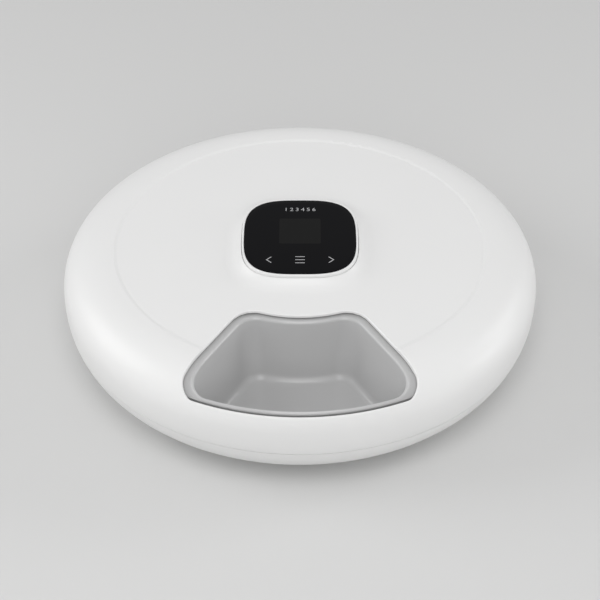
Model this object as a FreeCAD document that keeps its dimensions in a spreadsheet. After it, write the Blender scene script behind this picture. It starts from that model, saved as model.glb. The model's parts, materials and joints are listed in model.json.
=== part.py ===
import FreeCAD, Part
import math
import os
import re
import Sketcher
from types import SimpleNamespace
from FreeCAD import Placement, Rotation, Vector

# Automatic six-meal pet feeder: a round tub with a turning tray under a lift-off lid,
# and a control head that stands on a fixed column in the middle.
# Millimetres, +Z up, the table at z = 0, the food window towards -Y.

doc = FreeCAD.newDocument("pet_feeder")

# name, value, what it sets
SIZE_TABLE = [
    ("overall_r", 160.0, "radius of the body at its widest line"),
    ("crest_z", 78.4, "height of the lid's highest ring"),
    ("equator_z", 51.1, "height of the widest line"),
    ("foot_gap", 2.8, "height of the tub's underside above the table"),
    ("shoulder_w", 32.0, "width of the lid's rounded shoulder"),
    ("shoulder_power", 2.2, "roundness of the shoulder"),
    ("belly_w", 50.6, "width of the tub's rounded belly"),
    ("belly_power", 2.37, "roundness of the belly"),
    ("shell_wall", 2.5, "wall of the tub and the lid"),
    ("seam_z", 35.0, "height of the joint between tub and lid"),
    ("seam_line", 0.3, "width of the shadow line at the joint"),
    ("rim_lip_up", 3.5, "height of the tub's lip inside the lid"),
    ("rim_lip_wall", 1.6, "wall of that lip"),
    ("lid_play", 0.4, "gap between the lid and what it goes over"),
    ("step_inset", 36.0, "distance of the lid's step from the widest line"),
    ("step_drop", 0.6, "depth of the lid's recessed top"),
    ("step_w", 2.6, "width of the step"),
    ("window_angle", 60.0, "angle of the food window"),
    ("window_side", 2.7, "window edge to the middle of a divider"),
    ("window_inner_r", 76.5, "inner edge of the window"),
    ("window_inset", 4.2, "outer edge of the window, in from the widest line"),
    ("window_corner_in", 15.2, "corner radius near the head"),
    ("window_corner_out", 10.0, "corner radius at the shoulder"),
    ("window_edge", 1.0, "rounding of the window's edge"),
    ("tray_gap", 1.4, "gap between lid and tray"),
    ("tray_wall", 1.6, "wall of the tray"),
    ("tray_hole_r", 64.5, "tray's middle hole"),
    ("tray_rim_z", 63.0, "height where the tray's wall meets its rounded top"),
    ("pocket_count", 6.0, "food pockets"),
    ("pocket_side", 5.0, "pocket edge to the middle of a divider, at the top"),
    ("pocket_inner_r", 77.3, "inner edge of a pocket, at the top"),
    ("pocket_floor_z", 30.0, "height of the pocket floors"),
    ("pocket_draft", 10.0, "slope of the pocket walls"),
    ("pocket_corner_in", 13.0, "pocket corner near the head"),
    ("pocket_corner_out", 10.0, "pocket corner at the outside"),
    ("pocket_fillet", 7.0, "rounding between floor and walls"),
    ("pocket_lip", 1.0, "rounding of the pocket's top edge"),
    ("tray_floor", 2.0, "thickness of the pocket floors"),
    ("disc_t", 3.0, "thickness of the turntable"),
    ("disc_edge_in", 20.0, "turntable's edge, in from the widest line"),
    ("dog_len", 24.0, "length of a driving dog"),
    ("dog_half_w", 8.5, "half the width of a dog"),
    ("dog_up", 10.0, "height of a dog"),
    ("dog_r", 112.0, "distance of the dogs from the axis"),
    ("gear_module", 1.5, "tooth size"),
    ("ring_teeth", 88.0, "teeth of the ring gear"),
    ("pinion_teeth", 28.0, "teeth of the pinion"),
    ("backlash", 0.2, "play between the teeth"),
    ("gear_w", 4.5, "face width of the pinion"),
    ("ring_rim", 3.6, "rim outside the ring gear's teeth"),
    ("column_r", 62.0, "outside of the fixed column"),
    ("column_wall", 2.0, "wall of the column"),
    ("spin_play", 0.3, "gap between column and turntable"),
    ("deck_z", 16.0, "top of the deck under the turntable"),
    ("deck_t", 2.0, "thickness of the deck and its liner"),
    ("liner_gap", 0.5, "gap between liner and tub"),
    ("roller_r", 4.0, "radius of a support roller"),
    ("roller_w", 5.0, "width of a support roller"),
    ("roller_track_r", 118.0, "radius of the rollers' track"),
    ("roller_pin_r", 1.0, "radius of a roller's pin"),
    ("pin_play", 0.05, "running clearance of a pin or shaft"),
    ("ear_t", 2.0, "thickness of the ears that hold a roller"),
    ("ear_gap", 0.4, "gap between roller and ear"),
    ("shaft_r", 2.0, "radius of the output shaft"),
    ("motor_r", 12.0, "radius of the motor and its gearbox"),
    ("gearbox_len", 16.0, "length of the gearbox"),
    ("motor_len", 24.0, "length of the motor"),
    ("shelf_t", 2.0, "thickness of the motor shelf"),
    ("magnet_r", 3.0, "radius of an index magnet"),
    ("magnet_t", 1.5, "thickness of an index magnet"),
    ("magnet_ring_r", 92.0, "radius of the ring of magnets"),
    ("cell_r", 13.1, "radius of a battery cell"),
    ("cell_len", 50.0, "length of a battery cell"),
    ("cell_play", 0.4, "room around each cell"),
    ("bay_y", -18.0, "middle of the battery bay"),
    ("bay_wall", 1.5, "wall of the battery holder"),
    ("spring_len", 3.0, "compressed length of a battery spring"),
    ("spring_r", 4.6, "radius of a battery spring's widest turn"),
    ("spring_wire_r", 0.35, "half thickness of the battery spring wire"),
    ("contact_t", 0.4, "thickness of the contact plates"),
    ("door_lip", 4.0, "ledge that holds the battery door"),
    ("door_play", 0.3, "gap round the battery door"),
    ("door_lip_t", 1.3, "thickness of the door's flange"),
    ("foot_r", 9.0, "radius of a rubber foot"),
    ("foot_sink", 0.6, "depth of the feet's recesses"),
    ("foot_ring_r", 92.0, "radius of the ring of feet"),
    ("screw_ring_r", 104.0, "radius of the ring of housing screws"),
    ("screw_r", 1.5, "radius of the housing screws"),
    ("small_screw_r", 1.0, "radius of the small screws"),
    ("screw_head_r", 2.8, "radius of a housing screw's head"),
    ("screw_head_t", 1.6, "height of a housing screw's head"),
    ("post_r", 4.6, "radius of a screw post"),
    ("boss_up", 4.0, "height of a screw boss on the deck"),
    ("head_half_w", 39.0, "half the width of the control head"),
    ("head_half_d", 42.6, "half the depth of the control head"),
    ("head_power", 3.25, "squareness of the control head"),
    ("head_rise", 6.6, "control head above the lid's recessed top"),
    ("bezel_w", 1.35, "width of the white bezel"),
    ("bezel_proud", 1.2, "bezel above the lid's collar"),
    ("collar_w", 13.0, "width of the lid's soft collar"),
    ("glass_t", 2.0, "thickness of the glass"),
    ("glass_sink", 0.2, "glass below the bezel's top"),
    ("glass_play", 0.25, "gap round the glass"),
    ("glass_ledge", 1.6, "ledge that carries the glass"),
    ("head_post_in", 6.3, "head board screws, in from the head's outline"),
    ("head_post_r", 4.4, "radius of the posts for those screws"),
    ("head_post_turn", 41.5, "direction of those screws from the X axis"),
    ("cover_t", 1.5, "thickness of the column's cover"),
    ("display_w", 30.0, "width of the display"),
    ("display_d", 28.0, "depth of the display"),
    ("display_t", 2.6, "thickness of the display"),
    ("display_y", 3.5, "display behind the middle of the glass"),
    ("board_t", 1.6, "thickness of the circuit boards"),
    ("key_pitch", 20.0, "spacing of the touch keys"),
    ("key_y", -25.0, "row of touch keys"),
    ("key_r", 3.2, "radius of a touch spring"),
    ("buzzer_r", 6.0, "radius of the buzzer"),
    ("buzzer_t", 3.5, "thickness of the buzzer"),
    ("board_w", 56.0, "width of the main board"),
    ("board_d", 32.0, "depth of the main board"),
    ("board_lift", 1.3, "main board above the tub's floor"),
    ("inlet_w", 8.94, "width of the power inlet"),
    ("inlet_up", 3.2, "height of the power inlet"),
    ("inlet_deep", 7.3, "depth of the power inlet"),
    ("inlet_y", 121.0, "back face of the inlet's recess"),
    ("inlet_room_w", 14.0, "width of that recess"),
    ("inlet_room_up", 6.6, "height of that recess"),
    ("lock_travel", 6.0, "travel of the lid lock"),
    ("lock_z", 44.6, "height of the lid lock"),
    ("lock_knob_w", 14.0, "width of the lock's knob"),
    ("lock_knob_up", 8.0, "height of the lock's knob"),
    ("lock_knob_t", 1.2, "thickness of the lock's knob"),
    ("lock_knob_round", 1.0, "rounding of the knob's corners"),
    ("lock_room", 2.0, "depth of the lock's recess"),
    ("lock_pad_t", 2.6, "lid wall behind the lock's recess"),
    ("lock_plate_t", 1.2, "thickness of the lock's inner plate"),
    ("lock_hook_t", 2.0, "thickness of the lock's tab and the keeper's bar"),
    ("lock_tab", 5.0, "reach of the lock's tab beside its plate"),
    ("lock_stem_w", 8.0, "width of the stem between the lock's knob and plate"),
    ("lock_stem_up", 4.0, "height of that stem"),
    ("lock_rib_w", 1.2, "spacing of the knob's grip grooves, and their end margin"),
    ("lock_groove_w", 0.9, "width of a grip groove"),
    ("lock_play", 0.3, "play of the lock in its slots"),
]

sheet = doc.addObject("Spreadsheet::Sheet", "Sizes")
for row, (name, value, note) in enumerate(SIZE_TABLE, 1):
    sheet.set("A%d" % row, name)
    sheet.set("B%d" % row, str(value))
    sheet.set("C%d" % row, note)
    sheet.setAlias("B%d" % row, name)
doc.recompute()
s = SimpleNamespace(**{name: sheet.get(name) for name, _, _ in SIZE_TABLE})
size_names = {name for name, _, _ in SIZE_TABLE}
parts = {}


# ---------------------------------------------------------------- bound primitives

def formula(text):
    """A formula with every size name pointed at its cell of the sheet."""
    return re.sub(r"[a-z][a-z_0-9]*", lambda word: (
        "Sizes." + word.group(0) if word.group(0) in size_names else word.group(0)), text)


def bind(obj, **formulas):
    for name, text in formulas.items():
        obj.setExpression(name, formula(text))
    return obj


def place(obj, x, y, z):
    for axis, text in zip("xyz", (x, y, z)):
        obj.setExpression("Placement.Base." + axis, formula(text))
    return obj


def cylinder(name, radius, height, x="0", y="0", z="0"):
    obj = doc.addObject("Part::Cylinder", name)
    bind(obj, Radius=radius, Height=height)
    return place(obj, x, y, z)


def cone(name, low_radius, high_radius, height, x="0", y="0", z="0"):
    obj = doc.addObject("Part::Cone", name)
    bind(obj, Radius1=low_radius, Radius2=high_radius, Height=height)
    return place(obj, x, y, z)


def block(name, width, depth, height, x="0", y="0", z="0"):
    """A box centred on x and y, standing on z."""
    obj = doc.addObject("Part::Box", name)
    bind(obj, Length=width, Width=depth, Height=height)
    return place(obj, "%s - (%s) / 2" % (x, width), "%s - (%s) / 2" % (y, depth), z)


def lying(obj, azimuth):
    """Turn a cylinder from the vertical to point outwards along an azimuth."""
    obj.Placement.Rotation = Rotation(Vector(0, 0, 1), azimuth) * Rotation(Vector(0, 1, 0), 90)
    return obj


def fuse(name, pieces):
    obj = doc.addObject("Part::MultiFuse", name)
    obj.Shapes = pieces
    return obj


def group(name, pieces):
    obj = doc.addObject("Part::Compound", name)
    obj.Links = pieces
    return obj


def cut(name, base, tools):
    obj = doc.addObject("Part::Cut", name)
    obj.Base = base
    obj.Tool = tools[0] if len(tools) == 1 else fuse(name + "_tools", tools)
    return obj


def common(name, base, tool):
    obj = doc.addObject("Part::Common", name)
    obj.Base = base
    obj.Tool = tool
    return obj


def made(name, shape):
    """A shape that no primitive or sketch gives, worked out from the sheet's values."""
    obj = doc.addObject("Part::Feature", name)
    obj.Shape = shape
    return obj


def turned(name, outline):
    """A body turned about the Z axis; the outline's corners are (radius, height) formulas."""
    body = doc.addObject("PartDesign::Body", name)
    plane = next(o for o in body.Origin.OriginFeatures if o.Role == "XZ_Plane")
    sketch = body.newObject("Sketcher::SketchObject", name + "_outline")
    sketch.AttachmentSupport = [(plane, "")]
    sketch.MapMode = "FlatFace"
    corners = [(sheet_value(radius), sheet_value(height)) for radius, height in outline]
    count = len(corners)
    for i, (radius, height) in enumerate(corners):
        end = corners[(i + 1) % count]
        sketch.addGeometry(Part.LineSegment(Vector(radius, height, 0), Vector(end[0], end[1], 0)), False)
    for i in range(count):
        sketch.addConstraint(Sketcher.Constraint("Coincident", i, 2, (i + 1) % count, 1))
    for i, (radius, height) in enumerate(outline):
        for kind, text, value in (("DistanceX", radius, corners[i][0]), ("DistanceY", height, corners[i][1])):
            number = sketch.addConstraint(Sketcher.Constraint(kind, -1, 1, i, 1, value))
            sketch.setExpression("Constraints[%d]" % number, formula(text))
    turn = body.newObject("PartDesign::Revolution", name + "_turn")
    turn.Profile = sketch
    turn.ReferenceAxis = (sketch, ["V_Axis"])
    turn.Angle = 360
    body.Tip = turn
    return body


def sheet_value(text):
    """The number that a formula gives."""
    return float(sheet.evalExpression(formula(text)))


def part(label, obj):
    obj.Label = label
    parts[label] = obj
    return obj


def ring_spot(ring_r, azimuth):
    """Formulas for a place on a ring about the axis."""
    return "%s * cos(%g deg)" % (ring_r, azimuth), "%s * sin(%g deg)" % (ring_r, azimuth)


# ---------------------------------------------------------------- shared curves

UP = Vector(0, 0, 1)
RECESS_Z = s.crest_z - s.step_drop
SHOULDER_R = s.overall_r - s.shoulder_w
FLOOR_R = s.overall_r - s.belly_w
COLUMN_BORE = s.column_r - s.column_wall
HEAD_Z = RECESS_Z + s.head_rise
CURVE_POINTS = 13
HEAD_POINTS = 48


def oval_point(wide, tall, power, turn, inset):
    """A point on a superellipse quarter, moved inwards along the normal; turn 0 is on the wide side."""
    x, y = math.cos(turn) ** (2 / power), math.sin(turn) ** (2 / power)
    across, along = x ** (power - 1) / wide, y ** (power - 1) / tall
    length = math.hypot(across, along)
    return wide * x - inset * across / length, tall * y - inset * along / length


def smooth_edge(points, start, end):
    curve = Part.BSplineCurve()
    curve.interpolate(Points=points, InitialTangent=start, FinalTangent=end)
    return curve.toShape()


def body_wall(inset):
    """The body's outer curve from its floor to its crest, moved inwards by an inset."""
    turns = [math.radians(90) * i / (CURVE_POINTS - 1) for i in range(CURVE_POINTS)]
    belly = [oval_point(s.belly_w, s.equator_z - s.foot_gap, s.belly_power, turn, inset) for turn in turns]
    shoulder = [oval_point(s.shoulder_w, s.crest_z - s.equator_z, s.shoulder_power, turn, inset)
                for turn in turns]
    belly = [Vector(FLOOR_R + x, 0, s.equator_z - y) for x, y in reversed(belly)]
    shoulder = [Vector(SHOULDER_R + x, 0, s.equator_z + y) for x, y in shoulder]
    return [smooth_edge(belly, Vector(1, 0, 0), UP), smooth_edge(shoulder, UP, Vector(-1, 0, 0))]


def run(*corners):
    """Straight edges through (radius, height) corners."""
    points = [Vector(radius, 0, height) for radius, height in corners]
    return [Part.makeLine(a, b) for a, b in zip(points, points[1:])]


def spun(edges):
    """A solid of revolution from a closed outline in the XZ plane."""
    return Part.Face(Part.Wire(Part.__sortEdges__(edges))).revolve(Vector(0, 0, 0), UP, 360)


def body_solid(inset):
    """The whole body shape, solid, moved inwards by an inset."""
    low, high = s.foot_gap + inset, s.crest_z - inset
    return spun(body_wall(inset) + run((SHOULDER_R, high), (0, high), (0, low), (FLOOR_R, low)))


def tube_between(low, high, outer, inner=0):
    ring = Part.makeCylinder(outer, high - low, Vector(0, 0, low))
    return ring.cut(Part.makeCylinder(inner, high - low, Vector(0, 0, low))) if inner else ring


def squircle(grow, z):
    """The control head's outline, made larger by grow, as a closed smooth wire."""
    turns = [2 * math.pi * i / HEAD_POINTS for i in range(HEAD_POINTS)]
    points = [Vector(math.cos(turn), math.sin(turn), 0) * squircle_reach(grow, turn) + Vector(0, 0, z)
              for turn in turns]
    curve = Part.BSplineCurve()
    curve.interpolate(Points=points, PeriodicFlag=True)
    return Part.Wire(curve.toShape())


def squircle_reach(grow, turn):
    """Distance of the head's outline from the axis in one direction, as a number."""
    wide, deep = s.head_half_w + grow, s.head_half_d + grow
    power = s.head_power
    return (abs(math.cos(turn) / wide) ** power + abs(math.sin(turn) / deep) ** power) ** (-1 / power)


def squircle_block(grow, low, high):
    return Part.Face(squircle(grow, low)).extrude(Vector(0, 0, high - low))


def wedge_wire(side, inner_r, outer_r, z, angle=s.window_angle):
    """A sector about -Y, its sides moved inwards by side from the sector's bounds."""
    half = math.radians(angle / 2)

    def corner(radius, way):
        along = math.sqrt(radius ** 2 - side ** 2)
        return Vector(way * (along * math.sin(half) - side * math.cos(half)),
                      -along * math.cos(half) - side * math.sin(half), z)

    inner_l, inner_r_point = corner(inner_r, -1), corner(inner_r, 1)
    outer_l, outer_r_point = corner(outer_r, -1), corner(outer_r, 1)
    return Part.Wire([
        Part.Arc(inner_l, Vector(0, -inner_r, z), inner_r_point).toShape(),
        Part.makeLine(inner_r_point, outer_r_point),
        Part.Arc(outer_r_point, Vector(0, -outer_r, z), outer_l).toShape(),
        Part.makeLine(outer_l, inner_l)])


def rounded_corners(solid, inner_corner, outer_corner):
    """Round the two upright corners near the axis and the two far from it."""
    height = max(v.Z for v in solid.Vertexes) - min(v.Z for v in solid.Vertexes)
    for near, radius in ((True, inner_corner), (False, outer_corner)):
        upright = [e for e in solid.Edges if len(e.Vertexes) == 2
                   and abs(e.Vertexes[0].Z - e.Vertexes[1].Z) > 0.9 * height]
        upright.sort(key=lambda e: math.hypot(e.CenterOfMass.x, e.CenterOfMass.y))
        solid = solid.makeFillet(radius, upright[:2] if near else upright[-2:])
    return solid


def turned_copies(shape, count):
    return [shape.rotated(Vector(0, 0, 0), UP, 360 * i / count) for i in range(int(count))]


def fused(shapes):
    return shapes[0].multiFuse(shapes[1:]) if len(shapes) > 1 else shapes[0]


def wall_radius(inset, height):
    """Radius of the body's curve, moved inwards by inset, at a height."""
    belly, shoulder = body_wall(inset)
    edge = belly if height < s.equator_z else shoulder
    low, high = edge.ParameterRange
    for _ in range(40):
        middle = (low + high) / 2
        low, high = (middle, high) if edge.valueAt(middle).z < height else (low, middle)
    return edge.valueAt(low).x


def shared_edges(solid, first, second):
    """Edges of a solid that lie on the skins of two others."""
    skins = [Part.makeCompound(other.Faces) for other in (first, second)]
    found = []
    for edge in solid.Edges:
        spot = Part.Vertex(edge.valueAt(edge.ParameterRange[0] * 0.4 + edge.ParameterRange[1] * 0.6))
        if all(spot.distToShape(skin)[0] < 0.01 for skin in skins):
            found.append(edge)
    return found


# ---------------------------------------------------------------- places worked out from the sizes

LAP = 0.2
DRAFT = math.tan(math.radians(s.pocket_draft))
SKIN = s.shell_wall + s.tray_gap
TRAY_TOP = s.crest_z - SKIN
DISC_TOP = s.pocket_floor_z - s.tray_floor
DISC_UNDER = DISC_TOP - s.disc_t
RIM_R = wall_radius(SKIN, s.tray_rim_z)
FLOOR_TOP = s.foot_gap + s.shell_wall
DECK_UNDER = s.deck_z - s.deck_t
LIP_R = wall_radius(s.shell_wall, s.seam_z) - s.lid_play
LIP_LOW = s.seam_z - 4
COVER_Z = s.crest_z - s.shell_wall - s.lid_play
GEAR_Z = s.deck_z + 3
SHELF_Z = GEAR_Z + s.gear_w + 1
MOTOR_Y = s.gear_module * (s.ring_teeth - s.pinion_teeth) / 2
ROLLER_Z = DISC_UNDER - s.pin_play - s.roller_r
BAY_IN = 2 * (2 * s.cell_r + s.cell_play)
BAY_OUT = BAY_IN + 2 * s.bay_wall
CELL_Z = FLOOR_TOP + s.spring_len
GLASS_TOP = HEAD_Z - s.glass_sink
GLASS_UNDER = GLASS_TOP - s.glass_t
HEAD_BOARD_Z = GLASS_UNDER - s.display_t - s.board_t
BOARD_Z = FLOOR_TOP + s.board_lift
BOARD_Y = s.inlet_y - 2.5 - s.board_d / 2
INLET_Z = BOARD_Z + s.board_t + s.inlet_up / 2
LOCK_FLOOR_Y = s.overall_r - s.lock_room
LOCK_PAD_Y = LOCK_FLOOR_Y - s.lock_pad_t
LOCK_PLATE_Y = LOCK_PAD_Y - s.lock_play - s.lock_plate_t

SCREW_AZIMUTHS = (0, 50, 130, 180, 230, 310)
FOOT_AZIMUTHS = (30, 90, 150, 210, 270, 330)
ROLLER_AZIMUTHS = {"left": 150, "right": 30, "front": 270}
COVER_AZIMUTHS = (-20, 20, 160, 200)
COVER_RING_R = COLUMN_BORE - 3.4
HEAD_POST_TURN = math.radians(s.head_post_turn)
HEAD_POST_REACH = squircle_reach(-s.head_post_in, HEAD_POST_TURN)
HEAD_POST_X = HEAD_POST_REACH * math.cos(HEAD_POST_TURN)
HEAD_POST_Y = HEAD_POST_REACH * math.sin(HEAD_POST_TURN)
HEAD_CORNERS = [(x * HEAD_POST_X, y * HEAD_POST_Y) for x in (-1, 1) for y in (-1, 1)]
BOARD_CORNERS = [(x * (s.board_w / 2 - 4), BOARD_Y + y) for x in (-1, 1) for y in (4, 4 - s.board_d / 2)]
SHELF_SCREWS = [(-8.5, MOTOR_Y), (8.5, MOTOR_Y)]
HOLDER_SCREWS = [(way * (BAY_OUT / 2 + 3.4), s.bay_y) for way in (-1, 1)]


def tray_wall_r(height):
    """Outside of the tray's sloping outer wall."""
    return RIM_R - (s.tray_rim_z - height) * DRAFT


def spot(ring_r, azimuth, z=0):
    turn = math.radians(azimuth)
    return Vector(ring_r * math.cos(turn), ring_r * math.sin(turn), z)


def box_at(width, depth, height, x, y, z):
    """A box centred on x and y, standing on z."""
    return Part.makeBox(width, depth, height, Vector(x - width / 2, y - depth / 2, z))


def rod(radius, low, high, x=0, y=0):
    return Part.makeCylinder(radius, high - low, Vector(x, y, low))


# ---------------------------------------------------------------- tub

def keeper():
    """The tub's hook for the lid lock: a post with a slot that opens towards -X."""
    low_x = s.lock_knob_w / 2 + s.lock_travel + 2 * s.lock_play
    slot_w = s.lock_tab + s.lock_play
    slot_z = s.lock_z - s.lock_hook_t / 2 - s.lock_play
    slot_up = s.lock_hook_t + 2 * s.lock_play
    top = slot_z + slot_up + s.lock_hook_t
    front = tray_wall_r(top) + 1
    post = Part.makeBox(slot_w + s.lock_hook_t, LIP_R - front, top - LIP_LOW, Vector(low_x, front, LIP_LOW))
    slot = Part.makeBox(slot_w, LIP_R - front, slot_up, Vector(low_x, front, slot_z))
    return post.cut(slot).common(rod(LIP_R, LIP_LOW, top))


def tub_shape():
    shell = body_solid(0).cut(body_solid(s.shell_wall)).common(tube_between(0, s.seam_z, s.overall_r + 1))
    bare_r = wall_radius(0, s.seam_z) - 0.7
    shell = shell.cut(tube_between(s.seam_z - s.seam_line, s.seam_z + 1, s.overall_r + 1, bare_r))
    lip = tube_between(LIP_LOW, s.seam_z + s.rim_lip_up, LIP_R, LIP_R - s.rim_lip_wall)
    posts = [rod(s.post_r, s.foot_gap + 1, DECK_UNDER, *spot(s.screw_ring_r, a)[:2]) for a in SCREW_AZIMUTHS]
    stands = [rod(2.4, s.foot_gap + 1, BOARD_Z, x, y) for x, y in BOARD_CORNERS]
    inlet = box_at(s.inlet_room_w + 4, 40, DECK_UNDER - FLOOR_TOP + 1, 0, s.inlet_y + 18, FLOOR_TOP - 1)
    inlet = inlet.common(body_solid(1))
    shell = fused([shell, lip, inlet, keeper()] + posts + stands)
    holes = [rod(s.foot_r + 0.1, 0, s.foot_gap + s.foot_sink, *spot(s.foot_ring_r, azimuth)[:2])
             for azimuth in FOOT_AZIMUTHS]
    for azimuth in SCREW_AZIMUTHS:
        x, y = spot(s.screw_ring_r, azimuth)[:2]
        holes.append(rod(s.screw_head_r + 0.3, 0, FLOOR_TOP + 1, x, y))
        holes.append(rod(s.screw_r + 0.1, 0, DECK_UNDER + 1, x, y))
    holes += [rod(0.9, s.foot_gap + 1, BOARD_Z + 1, x, y) for x, y in BOARD_CORNERS]
    holes += [rod(0.9, s.foot_gap + 0.8, FLOOR_TOP + 1, x, y) for x, y in HOLDER_SCREWS]
    flange = BAY_IN + 2 * s.door_lip
    holes.append(box_at(BAY_IN, BAY_IN, FLOOR_TOP + 1, 0, s.bay_y, 0))
    holes.append(box_at(flange, flange, s.foot_gap + s.door_lip_t, 0, s.bay_y, 0))
    room_low = INLET_Z - s.inlet_room_up / 2
    holes.append(box_at(s.inlet_room_w, 40, s.inlet_room_up, 0, s.inlet_y + 20, room_low))
    holes.append(box_at(s.inlet_w + 0.4, 6, s.inlet_up + 0.4, 0, s.inlet_y, INLET_Z - s.inlet_up / 2 - 0.2))
    return shell.cut(fused(holes))


part("base_tub", made("tub", tub_shape()))

feet = []
for azimuth in FOOT_AZIMUTHS:
    x, y = ring_spot("foot_ring_r", azimuth)
    name = "foot_%d" % azimuth
    pad = cylinder(name + "_pad", "foot_r", "foot_gap + foot_sink - 0.8", x, y, "0.8")
    feet.append(fuse(name, [pad, cone(name + "_edge", "foot_r - 0.8", "foot_r", "0.8", x, y)]))
part("rubber_feet", group("feet", feet))


def screws(label, spots, head_z, tip_z, radius, head_radius, head_height, down=True):
    """A set of screws; each head's flat end is at head_z and its shank ends at tip_z."""
    pieces = []
    for number, (x, y) in enumerate(spots, 1):
        name = "%s_%d" % (label, number)
        low, high = ("(%s) - (%s)" % (head_z, head_height), tip_z) if down else (head_z, tip_z)
        head = cylinder(name + "_head", head_radius, head_height, x, y, low)
        if down:
            shank = cylinder(name + "_shank", radius, "(%s) - (%s)" % (head_z, tip_z), x, y, tip_z)
        else:
            shank = cylinder(name + "_shank", radius, "(%s) - (%s)" % (tip_z, head_z), x, y, head_z)
        drive = block(name + "_drive", "(%s) * 1.1" % head_radius, "0.5", "0.6", x, y,
                      "(%s) - 0.6" % head_z if down else head_z)
        pieces.append(cut(name, fuse(name + "_blank", [head, shank]), [drive]))
    return part(label, group(label + "_set", pieces))


screws("base_screws", [ring_spot("screw_ring_r", a) for a in SCREW_AZIMUTHS],
       "foot_gap + shell_wall + 1 - screw_head_t", "deck_z + boss_up - 0.4", "screw_r", "screw_head_r",
       "screw_head_t", down=False)


# ---------------------------------------------------------------- deck with its column

def deck_shape():
    gap = s.shell_wall + s.liner_gap
    liner_top = LIP_LOW - 0.4
    bowl = body_solid(gap).common(tube_between(DECK_UNDER, liner_top, s.overall_r))
    bowl = bowl.cut(body_solid(gap + s.deck_t).common(tube_between(s.deck_z, liner_top + 1, s.overall_r)))
    column = tube_between(FLOOR_TOP, COVER_Z - s.cover_t, s.column_r)
    shelf = tube_between(SHELF_Z, SHELF_Z + s.shelf_t, COLUMN_BORE + 0.5)
    shelf = shelf.common(Part.makeBox(200, 100, 100, Vector(-100, MOTOR_Y - s.motor_r - 3, 0)))
    bosses = [rod(4, COVER_Z - s.cover_t - 12, COVER_Z - s.cover_t, *spot(COVER_RING_R, a)[:2])
              for a in COVER_AZIMUTHS]
    ears = []
    reach = s.roller_w / 2 + s.ear_gap + s.ear_t / 2
    for azimuth in ROLLER_AZIMUTHS.values():
        for way in (-1, 1):
            ear = box_at(s.ear_t, 8, ROLLER_Z + 2.8 - s.deck_z + 0.5, s.roller_track_r + way * reach, 0,
                         s.deck_z - 0.5)
            ears.append(ear.rotated(Vector(0, 0, 0), UP, azimuth))
    screw_bosses = [rod(s.post_r - 0.6, DECK_UNDER, s.deck_z + s.boss_up, *spot(s.screw_ring_r, a)[:2])
                    for a in SCREW_AZIMUTHS]
    sensor_post = box_at(9, 7, DISC_UNDER - s.deck_z - 3, 0, s.magnet_ring_r, s.deck_z)
    bore = rod(COLUMN_BORE, 0, s.crest_z)
    solid = fused([bowl, column]).cut(bore)
    solid = fused([solid, shelf, sensor_post] + bosses + ears + screw_bosses)
    gear_reach = s.gear_module * (s.pinion_teeth / 2 + 1) + 0.8
    meets_y = (COLUMN_BORE ** 2 + MOTOR_Y ** 2 - gear_reach ** 2) / 2 / MOTOR_Y
    half_w = math.sqrt(COLUMN_BORE ** 2 - meets_y ** 2) + 0.5
    holes = [Part.makeBox(2 * half_w, 60, s.gear_w + 1.2, Vector(-half_w, meets_y - 2, GEAR_Z - 0.6))]
    holes.append(rod(s.shaft_r + 1, SHELF_Z - 1, SHELF_Z + s.shelf_t + 1, 0, MOTOR_Y))
    holes += [rod(s.small_screw_r + 0.1, SHELF_Z - 1, SHELF_Z + s.shelf_t + 1, x, y) for x, y in SHELF_SCREWS]
    holes += [rod(2.0, SHELF_Z - 1, SHELF_Z + 1.0, x, y) for x, y in SHELF_SCREWS]
    holes += [rod(s.small_screw_r + 0.02, COVER_Z - 9, COVER_Z, *spot(COVER_RING_R, a)[:2])
              for a in COVER_AZIMUTHS]
    holes += [rod(s.screw_r + 0.02, DECK_UNDER - 1, s.deck_z + s.boss_up - 0.3, *spot(s.screw_ring_r, a)[:2])
              for a in SCREW_AZIMUTHS]
    holes.append(box_at(12, 14, DECK_UNDER - FLOOR_TOP - 2, -30, 54, FLOOR_TOP - 1))
    for azimuth in ROLLER_AZIMUTHS.values():
        pin = Part.makeCylinder(s.roller_pin_r + 0.02, 2 * reach + 4,
                                Vector(s.roller_track_r - reach - 2, 0, ROLLER_Z), Vector(1, 0, 0))
        holes.append(pin.rotated(Vector(0, 0, 0), UP, azimuth))
    return solid.cut(fused(holes))


part("deck_and_column", made("deck", deck_shape()))

roller_pins = []
for side, azimuth in ROLLER_AZIMUTHS.items():
    half = "roller_w / 2 + ear_gap + ear_t"
    x, y = ring_spot("(roller_track_r - (%s))" % half, azimuth)
    pin = cylinder("roller_pin_" + side, "roller_pin_r", "2 * (%s)" % half)
    place(lying(pin, azimuth), x, y, "pocket_floor_z - tray_floor - disc_t - pin_play - roller_r")
    roller_pins.append(pin)
    bored = "roller_pin_r + pin_play"
    wheel = turned("roller_" + side, [(bored, "0"), ("roller_r - 0.4", "0"), ("roller_r", "0.4"),
                                      ("roller_r", "roller_w - 0.4"), ("roller_r - 0.4", "roller_w"),
                                      (bored, "roller_w")])
    x, y = ring_spot("(roller_track_r - roller_w / 2)", azimuth)
    place(lying(wheel, azimuth), x, y, "pocket_floor_z - tray_floor - disc_t - pin_play - roller_r")
    part("support_roller_" + side, wheel)
part("roller_pins", group("pins", roller_pins))


# ---------------------------------------------------------------- turntable and its drive

PRESSURE = math.radians(20)


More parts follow.
